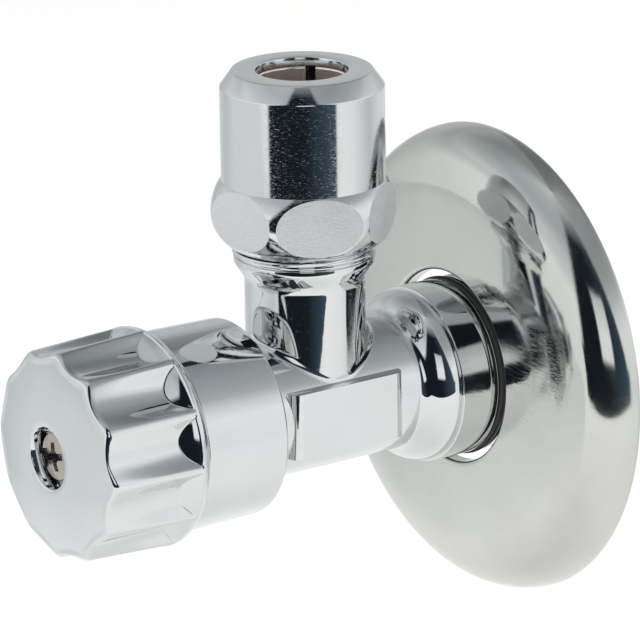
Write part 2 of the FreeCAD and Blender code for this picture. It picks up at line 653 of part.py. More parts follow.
def build_spindle_clip():
    body = new_body("spindle_clip")
    turned(body, "clip_turning", rectangle(
        "clip_groove_radius + snug_play", "clip_radius",
        "-(nose_front + 2 * face_play + clip_thickness)", "-(nose_front + 2 * face_play)",
    ))
    pushed(
        body, "PartDesign::Pocket", "clip_opening", "XZ_Plane",
        rectangle("-clip_gap / 2", "clip_gap / 2", "-(clip_radius + 1)", "0"),
        "2 * handle_front", both_ways=True,
    )
    return finished(body, "spindle_clip")


def build_disc():
    """The piston, what it carries, and the screw that holds the rubber disc."""
    cup_radius = "washer_radius + face_play + cup_wall"
    groove_middle = "-(piston_back + piston_length / 2)"
    groove_floor = "piston_radius - piston_groove_depth"
    body = new_body("disc_carrier")
    turned(body, "carrier_turning", [
        ("washer_screw_radius + snug_play", CUP_FLOOR),
        ("washer_radius + face_play", CUP_FLOOR),
        ("washer_radius + face_play", f"{CUP_FLOOR} + cup_depth"),
        (cup_radius, f"{CUP_FLOOR} + cup_depth"),
        (cup_radius, CUP_FRONT),
        ("stem_radius", CUP_FRONT),
        ("stem_radius", "-piston_back"),
        ("piston_radius", "-piston_back"),
        ("piston_radius", f"{groove_middle} + piston_groove_width / 2"),
        (groove_floor, f"{groove_middle} + piston_groove_width / 2"),
        (groove_floor, f"{groove_middle} - piston_groove_width / 2"),
        ("piston_radius", f"{groove_middle} - piston_groove_width / 2"),
        ("piston_radius", "-(piston_back + piston_length)"),
        (groove_floor, "-(piston_back + piston_length)"),
        (groove_floor, "-piston_front"),
        ("screw_radius + face_play", "-piston_front"),
        ("screw_radius + face_play", "-piston_bore_back"),
        ("washer_screw_radius + snug_play", "-piston_bore_back"),
    ])
    hexagon = new_sketch(body, "XZ_Plane", "hexagon_stem_outline", "piston_back + piston_length")
    draw_outline(hexagon, polygon("guide_across - guide_play", 6))
    draw_outline(hexagon, polygon("2 * (screw_radius + 2 * face_play)", 12))
    pad = body.newObject("PartDesign::Pad", "hexagon_stem")
    pad.Profile = hexagon
    pad.setExpression("Length", tied("piston_front - piston_back - piston_length"))
    doc.recompute()
    finished(body, "disc_carrier")
    round_ring("carrier_seal", f"{groove_floor} + piston_ring_radius + face_play", "piston_ring_radius",
               groove_middle)
    ring("seat_washer", "washer_screw_radius + snug_play", "washer_radius",
         SHUT_FACE, f"{SHUT_FACE} - washer_height")
    screw = new_body("washer_screw")
    turned(screw, "washer_screw_turning", [
        ("0", f"{SHUT_FACE} + face_play + washer_screw_head_height"),
        ("0", f"{SHUT_FACE} - washer_screw_length"),
        ("washer_screw_radius", f"{SHUT_FACE} - washer_screw_length"),
        ("washer_screw_radius", f"{SHUT_FACE} + face_play"),
        ("washer_screw_head", f"{SHUT_FACE} + face_play"),
        ("washer_screw_head", f"{SHUT_FACE} + face_play + washer_screw_head_height"),
    ])
    finished(screw, "washer_screw")


def build_sleeve():
    body = new_body("sleeve")
    turned(body, "sleeve_turning", [
        ("sleeve_bore_radius", "-sleeve_back"),
        ("sleeve_bore_radius", "-sleeve_front"),
        ("sleeve_front_radius", "-sleeve_front"),
        ("sleeve_back_radius", "-(sleeve_back + sleeve_edge)"),
        ("sleeve_back_radius - sleeve_edge", "-sleeve_back", "sleeve_edge"),
    ])
    return finished(body, "sleeve")


def build_handle():
    face_edge = "handle_front_radius - front_curve"
    edge_place = "-(handle_front - handle_dome)"
    back_edge = f"{HANDLE_BACK} - handle_back_edge"
    face_curve = f"(({face_edge} - recess_radius) ^ 2 + handle_dome ^ 2) / (2 * handle_dome)"
    cavity_floor = f"{edge_place} + handle_wall"
    body = new_body("handle")
    turned(body, "handle_shape", [
        ("handle_screw_radius + 5 * snug_play", HUB_BACK),
        ("handle_screw_radius + 5 * snug_play", RECESS_FLOOR),
        ("recess_radius", RECESS_FLOOR),
        ("recess_radius", "-handle_front"),
        (face_edge, edge_place, face_curve),
        ("handle_front_radius", f"{edge_place} + front_curve", "front_curve"),
        ("handle_back_radius", back_edge),
        ("handle_cavity_radius", back_edge),
        ("handle_cavity_radius", cavity_floor),
        ("hub_radius", cavity_floor),
        ("hub_radius", HUB_BACK),
    ])
    sketch = new_sketch(body, "XZ_Plane", "flute_outline")
    across = number("flute_floor + flute_radius")
    round_shape = Part.Circle(Vector(across, 0, 0), Vector(0, 0, 1), number("flute_radius"))
    circle = sketch.addGeometry(round_shape, False)
    sketch.addConstraint(Sketcher.Constraint("PointOnObject", circle, 3, -1))
    for kind, parts, text in (
        ("DistanceX", (-1, 1, circle, 3, across), "flute_floor + flute_radius"),
        ("Radius", (circle, number("flute_radius")), "flute_radius"),
    ):
        hold = sketch.addConstraint(Sketcher.Constraint(kind, *parts))
        sketch.setExpression(f"Constraints[{hold}]", tied(text))
    flute = body.newObject("PartDesign::Pocket", "flute")
    flute.Profile = sketch
    flute.Type = "ThroughAll"
    flute.SideType = "Symmetric"
    doc.recompute()
    pattern = body.newObject("PartDesign::PolarPattern", "flutes")
    pattern.Originals = [flute]
    pattern.Axis = (origin_feature(body, "Y_Axis"), [""])
    pattern.Angle = 360
    pattern.setExpression("Occurrences", tied("flute_count"))
    body.Tip = pattern
    doc.recompute()

    turned(body, "rear_rim", [
        ("handle_cavity_radius", "-flute_end"),
        ("flute_floor", "-flute_end"),
        ("handle_back_radius", back_edge),
        ("handle_back_radius - handle_back_step", HANDLE_BACK, "handle_back_edge + 0.2"),
        ("handle_cavity_radius", HANDLE_BACK),
    ])
    pushed(
        body, "PartDesign::Pocket", "square_hole", "XZ_Plane", polygon("square_across + 2 * face_play", 4),
        f"{SQUARE_FRONT} - square_back + 3 * face_play", offset=f"{SQUARE_FRONT} + 2 * face_play",
    )
    turn_with_flutes(body)
    return finished(body, "handle")


def build_handle_screw():
    head_back = f"{RECESS_FLOOR} - face_play"
    head_front = f"{head_back} - handle_screw_head_height"
    dome_curve = "(handle_screw_head ^ 2 + handle_screw_dome ^ 2) / (2 * handle_screw_dome)"
    body = new_body("handle_screw")
    turned(body, "handle_screw_turning", [
        ("0", f"{RECESS_FLOOR} + handle_screw_length"),
        ("0", head_front),
        ("handle_screw_head", f"{head_front} + handle_screw_dome", dome_curve),
        ("handle_screw_head", head_back),
        ("handle_screw_radius", head_back),
        ("handle_screw_radius", f"{RECESS_FLOOR} + handle_screw_length"),
    ])
    for name, across, upright in (
        ("upright_arm", "cross_width / 2", "cross_length / 2"),
        ("level_arm", "cross_length / 2", "cross_width / 2"),
    ):
        pushed(
            body, "PartDesign::Pocket", name, "XZ_Plane",
            rectangle(f"-{across}", across, f"-{upright}", upright),
            "cross_depth", offset=f"-({head_front})",
        )
    return finished(body, "handle_screw")


build_valve_body()
round_ring("inlet_seal", "seal_groove_radius + seal_section_radius + snug_play", "seal_section_radius",
           "-(seal_groove_back + seal_groove_width / 2)")
build_rosette()
build_compression_nut()
build_clamp_ring()
build_rings_in_nut()
build_headpart_housing()
build_spindle()
build_spindle_clip()
build_disc()
build_sleeve()
build_handle()
build_handle_screw()
doc.recompute()

for thing in doc.Objects:
    if {"Invalid", "Error"} & set(thing.State):
        raise RuntimeError(f"{thing.Label} did not build: {thing.State}")
for piece in SUB_PARTS:
    if piece.Shape.isNull() or not piece.Shape.isValid() or len(piece.Shape.Solids) != 1:
        raise RuntimeError(f"{piece.Label} is not one sound solid")

os.makedirs("parts", exist_ok=True)
for piece in SUB_PARTS:
    piece.Shape.exportStep(f"parts/{piece.Label}.step")
    print(f"{piece.Label}: {piece.Shape.Volume:.1f} mm3")
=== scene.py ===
# %% [markdown]
# A chromed angle valve, piece by piece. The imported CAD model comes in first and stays
# fixed: it says where each piece sits and which body it moves with. Pieces that need more
# than the CAD gives (rounded flutes, threads, turned edges) are modelled again here, in
# the same place, and the rest keeps its CAD mesh and gets a better finish.

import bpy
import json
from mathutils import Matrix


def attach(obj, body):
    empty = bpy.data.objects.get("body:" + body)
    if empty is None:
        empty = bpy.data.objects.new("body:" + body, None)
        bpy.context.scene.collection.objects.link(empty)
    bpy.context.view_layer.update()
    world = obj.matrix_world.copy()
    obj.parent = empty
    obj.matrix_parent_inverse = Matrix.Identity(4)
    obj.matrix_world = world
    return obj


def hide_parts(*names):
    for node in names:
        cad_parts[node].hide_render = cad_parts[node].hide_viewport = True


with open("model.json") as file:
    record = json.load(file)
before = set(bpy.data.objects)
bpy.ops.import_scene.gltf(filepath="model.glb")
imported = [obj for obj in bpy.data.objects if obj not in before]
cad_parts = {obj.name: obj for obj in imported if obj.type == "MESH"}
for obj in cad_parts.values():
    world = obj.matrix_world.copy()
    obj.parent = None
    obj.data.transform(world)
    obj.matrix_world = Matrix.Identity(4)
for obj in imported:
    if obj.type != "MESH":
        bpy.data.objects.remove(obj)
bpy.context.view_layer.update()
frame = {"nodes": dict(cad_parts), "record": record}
nodes = frame["nodes"]

# %% Blender's modules and the valve's two axes
import json
import math

import bmesh
import bpy
from mathutils import Matrix, Vector

scene = bpy.context.scene
OUTLET_PLACE = -26.9    # millimetres along the valve's axis to the outlet's axis
print("the outlet's axis is", -OUTLET_PLACE, "mm in front of the wall")

# %% [markdown]
# The camera looks down on the valve from the right, nearly without perspective. Its three
# directions (right, up, backwards) are the columns of its rotation, so the matrix is
# written from them and the place is added. The lens is as long as the picture's flat
# perspective asks for.

# %% Camera
camera_data = bpy.data.cameras.new("camera")
camera_data.sensor_width = 36.0
camera_data.lens = 281.25
camera_data.clip_start = 0.05
camera_data.clip_end = 20.0
camera = bpy.data.objects.new("camera", camera_data)
scene.collection.objects.link(camera)
right = Vector((0.5711475, 0.82074096, -0.01322188))
up = Vector((-0.24053683, 0.18274486, 0.95328188))
forward = Vector((-0.78481372, 0.54128421, -0.3017927))
turn = Matrix((right, up, -forward)).transposed()
camera.matrix_world = Matrix.Translation((0.45168, -0.33640, 0.18278)) @ turn.to_4x4()
scene.camera = camera
scene.view_settings.view_transform = "Standard"
print("lens", camera_data.lens, "mm")

# %% [markdown]
# Chrome shows nothing but its surroundings, so the room matters as much as the metal. The
# valve hangs over a white sheet, as in a light tent: the sheet lights it from below, the
# tent's walls are pale and its roof is greyer. The tent is open towards the photographer,
# and that dark opening, wide at the bottom and narrow at the top, gives the crisp dark
# panels on the nut, the neck and the collar. Only reflections see the opening. The camera
# and the diffuse light get a plain white surround.

# %% Helpers that add and join shader nodes
def add_node(tree, kind, inputs=None, **settings):
    """Adds a node, sets its options, then fills or links its inputs."""
    node = tree.nodes.new(kind)
    for name, value in settings.items():
        setattr(node, name, value)
    for key, value in (inputs or {}).items():
        if isinstance(value, bpy.types.NodeSocket):
            tree.links.new(value, node.inputs[key])
        else:
            node.inputs[key].default_value = value
    return node


def calculate(tree, operation, *values):
    """A Math node's result, from numbers or sockets."""
    return add_node(tree, "ShaderNodeMath", dict(enumerate(values)), operation=operation).outputs[0]


def colour_ramp(tree, value, stops):
    """Colours along a value; the first stop is at 0 and the last one at 1."""
    node = add_node(tree, "ShaderNodeValToRGB", {"Fac": value})
    ramp = node.color_ramp
    ramp.elements[0].color = (*stops[0][1], 1)
    ramp.elements[1].color = (*stops[-1][1], 1)
    for stop_place, colour in stops[1:-1]:
        ramp.elements.new(stop_place).color = (*colour, 1)
    return node.outputs["Color"]


def ramp_between(tree, value, start, end, low=0.0, high=1.0):
    """Goes from low to high while value goes from start to end."""
    return add_node(tree, "ShaderNodeMapRange", {
        "Value": value, "From Min": start, "From Max": end, "To Min": low, "To Max": high,
    }).outputs["Result"]


def within(tree, value, limit, softness=0.02):
    """1 where value is below the limit, fading to 0 above it."""
    return ramp_between(tree, calculate(tree, "SUBTRACT", value, limit), softness, -softness)


def along_direction(tree, vector, axis):
    """How far a vector reaches along an axis of length 1."""
    return add_node(
        tree, "ShaderNodeVectorMath", {0: vector, 1: axis}, operation="DOT_PRODUCT").outputs["Value"]


def length_of(tree, one, other):
    """The length of a vector with these two parts."""
    squares = [calculate(tree, "POWER", part, 2.0) for part in (one, other)]
    return calculate(tree, "SQRT", calculate(tree, "ADD", *squares))


def mix_colours(tree, factor, one, other, **settings):
    """One colour at factor 0, the other at 1; each is a socket or three numbers."""
    one, other = ((*colour, 1) if isinstance(colour, tuple) else colour for colour in (one, other))
    return add_node(tree, "ShaderNodeMix", {"Factor": factor, "A": one, "B": other},
                    data_type="RGBA", **settings).outputs["Result"]


def kinds_of_ray(tree):
    """1 for camera rays, and 1 for rays that the metal or glass sends on."""
    path = add_node(tree, "ShaderNodeLightPath").outputs
    return path["Is Camera Ray"], calculate(
        tree, "MAXIMUM", path["Is Glossy Ray"], path["Is Transmission Ray"])


print("node helpers ready")

# %% The tent around the valve
world = bpy.data.worlds.new("light tent")
scene.world = world
world.use_nodes = True
tent = world.node_tree
tent.nodes.clear()
direction = add_node(tent, "ShaderNodeTexCoord").outputs["Generated"]
toward_opening = Vector((0.8232, -0.5678, 0.0))
beside_opening = Vector((0.5678, 0.8232, 0.0))
ahead = along_direction(tent, direction, toward_opening)
aside = along_direction(tent, direction, beside_opening)
height = along_direction(tent, direction, Vector((0, 0, 1)))
around = calculate(tent, "ARCTAN2", aside, ahead)
turned_aside = calculate(tent, "ABSOLUTE", around)
elevation = calculate(tent, "ARCSINE", height)
side_limit = ramp_between(tent, elevation, 0.0, 1.15, 0.8, 0.36)
low_gap = calculate(
    tent, "MULTIPLY", within(tent, turned_aside, 0.84), within(tent, elevation, 0.03))
high_gap = calculate(
    tent, "MULTIPLY", within(tent, turned_aside, side_limit, 0.04), within(tent, elevation, 1.16, 0.16))
from_panel = [calculate(tent, "ABSOLUTE", calculate(tent, "SUBTRACT", value, middle))
              for value, middle in ((around, 0.08), (elevation, 0.34))]
lit_panel = calculate(
    tent, "MULTIPLY", within(tent, from_panel[0], 0.21, 0.03), within(tent, from_panel[1], 0.26, 0.03))
opening = calculate(
    tent, "MULTIPLY", calculate(tent, "MAXIMUM", low_gap, high_gap),
    calculate(tent, "SUBTRACT", 1.0, lit_panel))
wall_ramp = colour_ramp(tent, ramp_between(tent, elevation, -0.5, 1.57), (
    (0.0, (0.97, 0.97, 0.96)), (0.24, (0.94, 0.95, 0.95)), (0.38, (0.97, 0.99, 1.0)),
    (0.48, (0.74, 0.76, 0.78)), (0.6, (0.52, 0.55, 0.57)), (0.7, (0.42, 0.45, 0.47)),
    (0.85, (0.47, 0.50, 0.52)), (1.0, (0.60, 0.63, 0.64))))
behind_dims = ramp_between(tent, turned_aside, 1.7, 2.7, 1.0, 0.58)
high_up = within(tent, calculate(tent, "MULTIPLY", elevation, -1.0), -0.6, 0.12)
right_dims = ramp_between(tent, calculate(tent, "MULTIPLY", around, high_up), -0.8, 0.8, 1.2, 0.8)
dims = calculate(tent, "MULTIPLY", behind_dims, right_dims)
grey = add_node(tent, "ShaderNodeCombineColor", {"Red": dims, "Green": dims, "Blue": dims}).outputs["Color"]
wall_look = mix_colours(tent, 1.0, wall_ramp, grey, blend_type="MULTIPLY")
dark_room = mix_colours(
    tent, ramp_between(tent, around, 0.05, 0.8), (0.009, 0.013, 0.019), (0.05, 0.082, 0.115))
tent_look = mix_colours(tent, opening, wall_look, dark_room)
by_camera, in_metal = kinds_of_ray(tent)
surround = mix_colours(tent, in_metal, (0.8, 0.8, 0.8), tent_look)
shown = mix_colours(tent, by_camera, surround, (1, 1, 1))
background = add_node(tent, "ShaderNodeBackground", {"Color": shown, "Strength": 1.0})
add_node(tent, "ShaderNodeOutputWorld", {"Surface": background.outputs["Background"]})
print("tent:", len(tent.nodes), "nodes")

# %% [markdown]
# The sheet under the valve is a flat disc. Its near edge stops a hand's width in front of
# the valve, so that reflections that leave the metal at a low angle pass over that edge
# and reach the dark opening. The sheet takes a soft shadow, and a little added light
# brings the unshaded part up to the white of the background. In the metal only, its outer part carries
# painted light and shade that changes with bearing.

# %% The white sheet
SHEET_HEIGHT = -0.064
SHEET_FRONT = 0.198
# painted light and shade on the sheet's outer part, seen only in the metal, by bearing: 0.5 is towards the
# photographer, 0.75 to the right, 0 and 1 away, 0.25 to the left
SHEET_PAINTED_SHADE_BY_BEARING = (
    (0.0, (0.62, 0.66, 0.67)), (0.13, (0.50, 0.54, 0.55)), (0.19, (0.68, 0.71, 0.71)),
    (0.30, (0.72, 0.74, 0.74)), (0.355, (0.70, 0.72, 0.72)), (0.365, (0.95, 0.95, 0.95)),
    (0.62, (0.95, 0.95, 0.94)), (0.70, (0.86, 0.87, 0.87)), (0.79, (0.50, 0.52, 0.54)),
    (0.86, (0.70, 0.72, 0.73)), (1.0, (0.62, 0.66, 0.67)),
)
sheet_mesh = bpy.data.meshes.new("floor")
bm = bmesh.new()
bmesh.ops.create_circle(bm, cap_ends=True, segments=128, radius=2.4)
bmesh.ops.translate(bm, verts=bm.verts, vec=(0, 0, SHEET_HEIGHT))
bmesh.ops.bisect_plane(
    bm, geom=bm.verts[:] + bm.edges[:] + bm.faces[:], dist=1e-6,
    plane_co=Vector((0, OUTLET_PLACE * 0.001, 0)) + toward_opening * SHEET_FRONT,
    plane_no=toward_opening, clear_outer=True)
bm.to_mesh(sheet_mesh)
bm.free()
floor = bpy.data.objects.new("floor", sheet_mesh)
scene.collection.objects.link(floor)
paper = bpy.data.materials.new("white paper sheet")
paper.use_nodes = True
tree = paper.node_tree
tree.nodes.clear()
place = add_node(tree, "ShaderNodeTexCoord").outputs["Object"]
fibres = add_node(tree, "ShaderNodeTexNoise", {"Vector": place, "Scale": 900.0, "Detail": 3.0})
bumps = add_node(tree, "ShaderNodeBump", {
    "Height": fibres.outputs[0], "Strength": 0.05, "Distance": 0.0002})
by_camera, in_metal = kinds_of_ray(tree)
seen = calculate(tree, "MAXIMUM", by_camera, in_metal)
centred = add_node(
    tree, "ShaderNodeMapping", {"Vector": place, "Location": (0, 0.0269, 0)}).outputs["Vector"]
across = along_direction(tree, centred, toward_opening)
back = along_direction(tree, centred, beside_opening)
bearing = calculate(tree, "ARCTAN2", back, across)
# painted light and shade by bearing, laid on the sheet's outer part for rays that the metal sends on
painted_far_shade = colour_ramp(tree, ramp_between(tree, bearing, -math.pi, math.pi), SHEET_PAINTED_SHADE_BY_BEARING)
distance = length_of(tree, across, back)
sheet_colour_with_painted_shade = mix_colours(
    tree, calculate(tree, "MULTIPLY", in_metal, ramp_between(tree, distance, 0.06, 0.17)),
    (0.9, 0.9, 0.895), painted_far_shade)
matt = add_node(tree, "ShaderNodeBsdfDiffuse", {"Color": sheet_colour_with_painted_shade, "Normal": bumps.outputs["Normal"]})
glow = add_node(tree, "ShaderNodeEmission", {
    "Color": (1, 1, 1, 1), "Strength": calculate(tree, "MULTIPLY", seen, 0.12)})
both = add_node(tree, "ShaderNodeAddShader", {0: matt.outputs["BSDF"], 1: glow.outputs["Emission"]})
add_node(tree, "ShaderNodeOutputMaterial", {"Surface": both.outputs["Shader"]})
sheet_mesh.materials.append(paper)
print("sheet height", SHEET_HEIGHT, "m")

# %% One large soft lamp above
lamp_data = bpy.data.lights.new("soft lamp", "AREA")
lamp_data.shape = "DISK"
lamp_data.size = 0.7
lamp_data.energy = 1.6
lamp = bpy.data.objects.new("soft lamp", lamp_data)
scene.collection.objects.link(lamp)
lamp.location = (-0.1, 0.1, 0.75)
lamp.rotation_euler = (Vector((0, -0.03, 0)) - lamp.location).to_track_quat("-Z", "Y").to_euler()
lamp.visible_glossy = False
print("lamp", lamp_data.energy, "W")

# %% [markdown]
# Finishes next. Polished chrome is a metal with a very low roughness; what makes it look
# real is its small faults. Castings are polished by hand, which leaves long soft waves,
# turned pieces keep fine rings, and all of them have a few hairline scratches and wiped
# smears. Each fault is a node group with named inputs, so every metal can take its own
# amount of it.

# %% A helper for node groups
def new_group(name, inputs, outputs):
    group = bpy.data.node_groups.new(name, "ShaderNodeTree")
    for label, kind, default in inputs:
        socket = group.interface.new_socket(label, in_out="INPUT", socket_type=kind)
        if default is not None:
            socket.default_value = default
    for label, kind in outputs:
        group.interface.new_socket(label, in_out="OUTPUT", socket_type=kind)
    return group, group.nodes.new("NodeGroupInput").outputs, group.nodes.new("NodeGroupOutput").inputs


def noise(tree, vector, scale, detail=2.0, roughness=0.5, kind="3D"):
    node = add_node(tree, "ShaderNodeTexNoise", {"Scale": scale, "Detail": detail, "Roughness": roughness},
                    noise_dimensions=kind)
    if kind == "1D":
        tree.links.new(vector, node.inputs["W"])
    else:
        tree.links.new(vector, node.inputs["Vector"])
    return node.outputs[0]


print("group helper ready")

# %% Waves left by hand polishing
waves, given, result = new_group(
    "polishing waves",
    [("Vector", "NodeSocketVector", None), ("Size", "NodeSocketFloat", 1.0)],
    [("Height", "NodeSocketFloat")])
broad = noise(waves, given["Vector"], calculate(waves, "DIVIDE", 0.35, given["Size"]), 1.0, 0.4)
narrow = noise(waves, given["Vector"], calculate(waves, "DIVIDE", 1.4, given["Size"]), 2.0, 0.5)
both_waves = calculate(
    waves, "ADD", calculate(waves, "MULTIPLY", broad, 0.8), calculate(waves, "MULTIPLY", narrow, 0.2))
waves.links.new(both_waves, result["Height"])
print("group:", waves.name)

# %% Rings left by turning
rings, given, result = new_group(
    "turning rings",
    [("Vector", "NodeSocketVector", None), ("Along Axis", "NodeSocketFloat", 1.0),
     ("Pitch", "NodeSocketFloat", 0.1)],
    [("Height", "NodeSocketFloat"), ("Specks", "NodeSocketFloat")])
parts = add_node(rings, "ShaderNodeSeparateXYZ", {0: given["Vector"]})
radius = length_of(rings, parts.outputs["X"], parts.outputs["Y"])
travel = add_node(rings, "ShaderNodeMix", {
    "Factor": given["Along Axis"], "A": radius, "B": parts.outputs["Z"]}, data_type="FLOAT").outputs[0]
fine = noise(rings, calculate(rings, "DIVIDE", travel, given["Pitch"]), 1.0, 3.0, 0.6, "1D")
wander = noise(rings, given["Vector"], 0.3, 1.0)
rings.links.new(calculate(rings, "ADD", fine, calculate(rings, "MULTIPLY", wander, 0.4)), result["Height"])
drawn_out = add_node(rings, "ShaderNodeMapping", {"Vector": given["Vector"], "Scale": (1.8, 1.8, 10.0)})
pits = noise(rings, drawn_out.outputs["Vector"], 1.0, 2.0, 0.65)
rings.links.new(ramp_between(rings, pits, 0.49, 0.75), result["Specks"])
print("group:", rings.name)

# %% Hairline scratches
scratches, given, result = new_group(
    "hairline scratches",
    [("Vector", "NodeSocketVector", None), ("Density", "NodeSocketFloat", 0.5)],
    [("Mask", "NodeSocketFloat")])
layers = []
for lean, stretch in ((0.5, 0.6), (2.1, 0.45), (3.9, 0.8)):
    turned_vector = add_node(scratches, "ShaderNodeMapping", {
        "Vector": given["Vector"], "Rotation": (lean, lean * 0.7, lean * 1.3),
        "Scale": (stretch, 14.0, 14.0)})
    streak = noise(scratches, turned_vector.outputs["Vector"], 0.8, 1.0, 0.4)
    faintest = calculate(
        scratches, "SUBTRACT", 0.78, calculate(scratches, "MULTIPLY", given["Density"], 0.08))
    layers.append(ramp_between(scratches, streak, faintest, 0.82))
scratches.links.new(
    calculate(scratches, "MAXIMUM", layers[0], calculate(scratches, "MAXIMUM", layers[1], layers[2])),
    result["Mask"])
print("group:", scratches.name)

# %% Wiped smears
smears, given, result = new_group(
    "wiped smears",
    [("Vector", "NodeSocketVector", None)],
    [("Mask", "NodeSocketFloat")])
cloud = noise(smears, given["Vector"], 0.12, 4.0, 0.62)
smears.links.new(ramp_between(smears, cloud, 0.42, 0.72), result["Mask"])
print("group:", smears.name)

# %% [markdown]
# A metal's material places those groups on the piece's own coordinates, measured in
# millimetres. For a turned piece a Mapping node first lays the turning axis along Z, so
# that the rings run round the piece. Roughness gets the smears and scratches, and the
# surface's small waves go through one Bump node. The nut also gets specks drawn out round
# it, and the rosette patches of fine brush strokes.

# %% Metal
def material(name):
    made = bpy.data.materials.new(name)
    made.use_nodes = True
    made.node_tree.nodes.clear()
    return made, made.node_tree


def own_coordinates(tree, turned_about=None):
    """Object coordinates in millimetres, with the turning axis moved onto Z."""
    place = add_node(tree, "ShaderNodeTexCoord").outputs["Object"]
    if turned_about == "valve":
        options = {"Rotation": (math.radians(90), 0, 0), "Scale": (1000, 1000, 1000)}
    elif turned_about == "outlet":
        options = {"Location": (0, -OUTLET_PLACE, 0), "Scale": (1000, 1000, 1000)}
    else:
        options = {"Scale": (1000, 1000, 1000)}
    return add_node(tree, "ShaderNodeMapping", {"Vector": place, **options}).outputs["Vector"]


def metal(name, colour, tint, polish, dull, turned_about=None, wave=0.0, wave_size=1.0, ring=0.0,
          pitch=0.1, along_axis=1.0, scratch=0.3, specks=0.0, brush=0.0):
    """A plated or bare metal; polish and dull are its roughness where clean and where smeared."""
    made, tree = material(name)
    where = own_coordinates(tree, turned_about)
    smear = add_node(tree, "ShaderNodeGroup", None, node_tree=smears)
    tree.links.new(where, smear.inputs["Vector"])
    scratch_node = add_node(tree, "ShaderNodeGroup", None, node_tree=scratches)
    tree.links.new(where, scratch_node.inputs["Vector"])
    scratch_node.inputs["Density"].default_value = scratch
    rough = ramp_between(tree, smear.outputs["Mask"], 0.0, 1.0, polish, dull)
    rough = calculate(tree, "ADD", rough, calculate(
        tree, "MULTIPLY", scratch_node.outputs["Mask"], 0.12))
    heights = calculate(tree, "MULTIPLY", scratch_node.outputs["Mask"], -0.0012)
    if wave:
        wave_node = add_node(tree, "ShaderNodeGroup", None, node_tree=waves)
        tree.links.new(where, wave_node.inputs["Vector"])
        wave_node.inputs["Size"].default_value = wave_size
        heights = calculate(tree, "ADD", heights, calculate(
            tree, "MULTIPLY", wave_node.outputs["Height"], wave))
    if ring:
        ring_node = add_node(tree, "ShaderNodeGroup", None, node_tree=rings)
        tree.links.new(where, ring_node.inputs["Vector"])
        ring_node.inputs["Along Axis"].default_value = along_axis
        ring_node.inputs["Pitch"].default_value = pitch
        heights = calculate(tree, "ADD", heights, calculate(
            tree, "MULTIPLY", ring_node.outputs["Height"], ring))
        if specks:
            rough = calculate(tree, "ADD", rough, calculate(
                tree, "MULTIPLY", ring_node.outputs["Specks"], specks))
    if brush:
        laid = add_node(tree, "ShaderNodeMapping", {
            "Vector": where, "Rotation": (0.0, 0.0, 0.6), "Scale": (0.3, 7.0, 7.0)}).outputs["Vector"]
        strokes = calculate(tree, "MULTIPLY", ramp_between(tree, noise(tree, laid, 1.0, 3.0, 0.6), 0.45, 0.7),
                            ramp_between(tree, noise(tree, where, 0.07, 1.0), 0.42, 0.6))
        heights = calculate(tree, "ADD", heights, calculate(tree, "MULTIPLY", strokes, brush * 0.01))
        rough = calculate(tree, "ADD", rough, calculate(tree, "MULTIPLY", strokes, brush))
    bump = add_node(tree, "ShaderNodeBump", {"Height": heights, "Strength": 1.0, "Distance": 0.001})
    shader = add_node(tree, "ShaderNodeBsdfPrincipled", {
        "Base Color": mix_colours(tree, smear.outputs["Mask"], colour, tint),
        "Metallic": 1.0, "Roughness": rough, "Normal": bump.outputs["Normal"]})
    add_node(tree, "ShaderNodeOutputMaterial", {"Surface": shader.outputs["BSDF"]})
    return made


CHROME = (0.74, 0.755, 0.76)
CHROME_SMEARED = (0.72, 0.73, 0.73)
body_chrome = metal("polished chrome casting", CHROME, CHROME_SMEARED, 0.02, 0.05,
                    wave=0.012, wave_size=2.5)
cover_chrome = metal("chrome on pressed sheet", (0.65, 0.66, 0.63), (0.62, 0.625, 0.60), 0.05, 0.12, "valve",
                     wave=0.02, wave_size=6.0, ring=0.0012, pitch=0.25, along_axis=0.0, scratch=1.0,
                     brush=0.22)
knob_chrome = metal("chrome on the handle", CHROME, CHROME_SMEARED, 0.02, 0.05, "valve",
                    wave=0.006, wave_size=3.0)
sleeve_chrome = metal("chrome on the sleeve", CHROME, CHROME_SMEARED, 0.03, 0.06, "valve",
                      wave=0.004, wave_size=3.0, ring=0.0004, pitch=0.12)
nut_chrome = metal("chrome on turned nut", CHROME, CHROME_SMEARED, 0.02, 0.06, "outlet",
                   wave=0.003, wave_size=2.0, ring=0.002, pitch=0.09, specks=0.32)
print("chrome made for body, cover, handle, sleeve and nut")

# %% [markdown]
# Two finishes are less than a mirror. The nut's flats are ground, so they scatter most of
# their light and show faint diagonal marks; the split ring's nickel is warm and nearly
# bright. Both mix a little plain scatter into the metal by lowering Metallic.

# %% Ground flats and warm nickel
def ground(name, colour, tint, metallic, rough_low, rough_high, marks, turned_about=None, lean=0.6):
    made, tree = material(name)
    where = own_coordinates(tree, turned_about)
    laid = add_node(tree, "ShaderNodeMapping", {
        "Vector": where, "Rotation": (lean, 0.0, 0.5), "Scale": (1.2, 1.2, 9.0)}).outputs["Vector"]
    grain = noise(tree, laid, 1.0, 4.0, 0.6)
    blotch = add_node(tree, "ShaderNodeGroup", None, node_tree=smears)
    tree.links.new(where, blotch.inputs["Vector"])
    bump = add_node(tree, "ShaderNodeBump", {
        "Height": calculate(tree, "MULTIPLY", grain, marks), "Strength": 1.0, "Distance": 0.001})
    shader = add_node(tree, "ShaderNodeBsdfPrincipled", {
        "Base Color": mix_colours(tree, blotch.outputs["Mask"], colour, tint), "Metallic": metallic,
        "Roughness": ramp_between(tree, grain, 0.3, 0.7, rough_low, rough_high),
        "Normal": bump.outputs["Normal"]})
    add_node(tree, "ShaderNodeOutputMaterial", {"Surface": shader.outputs["BSDF"]})
    return made


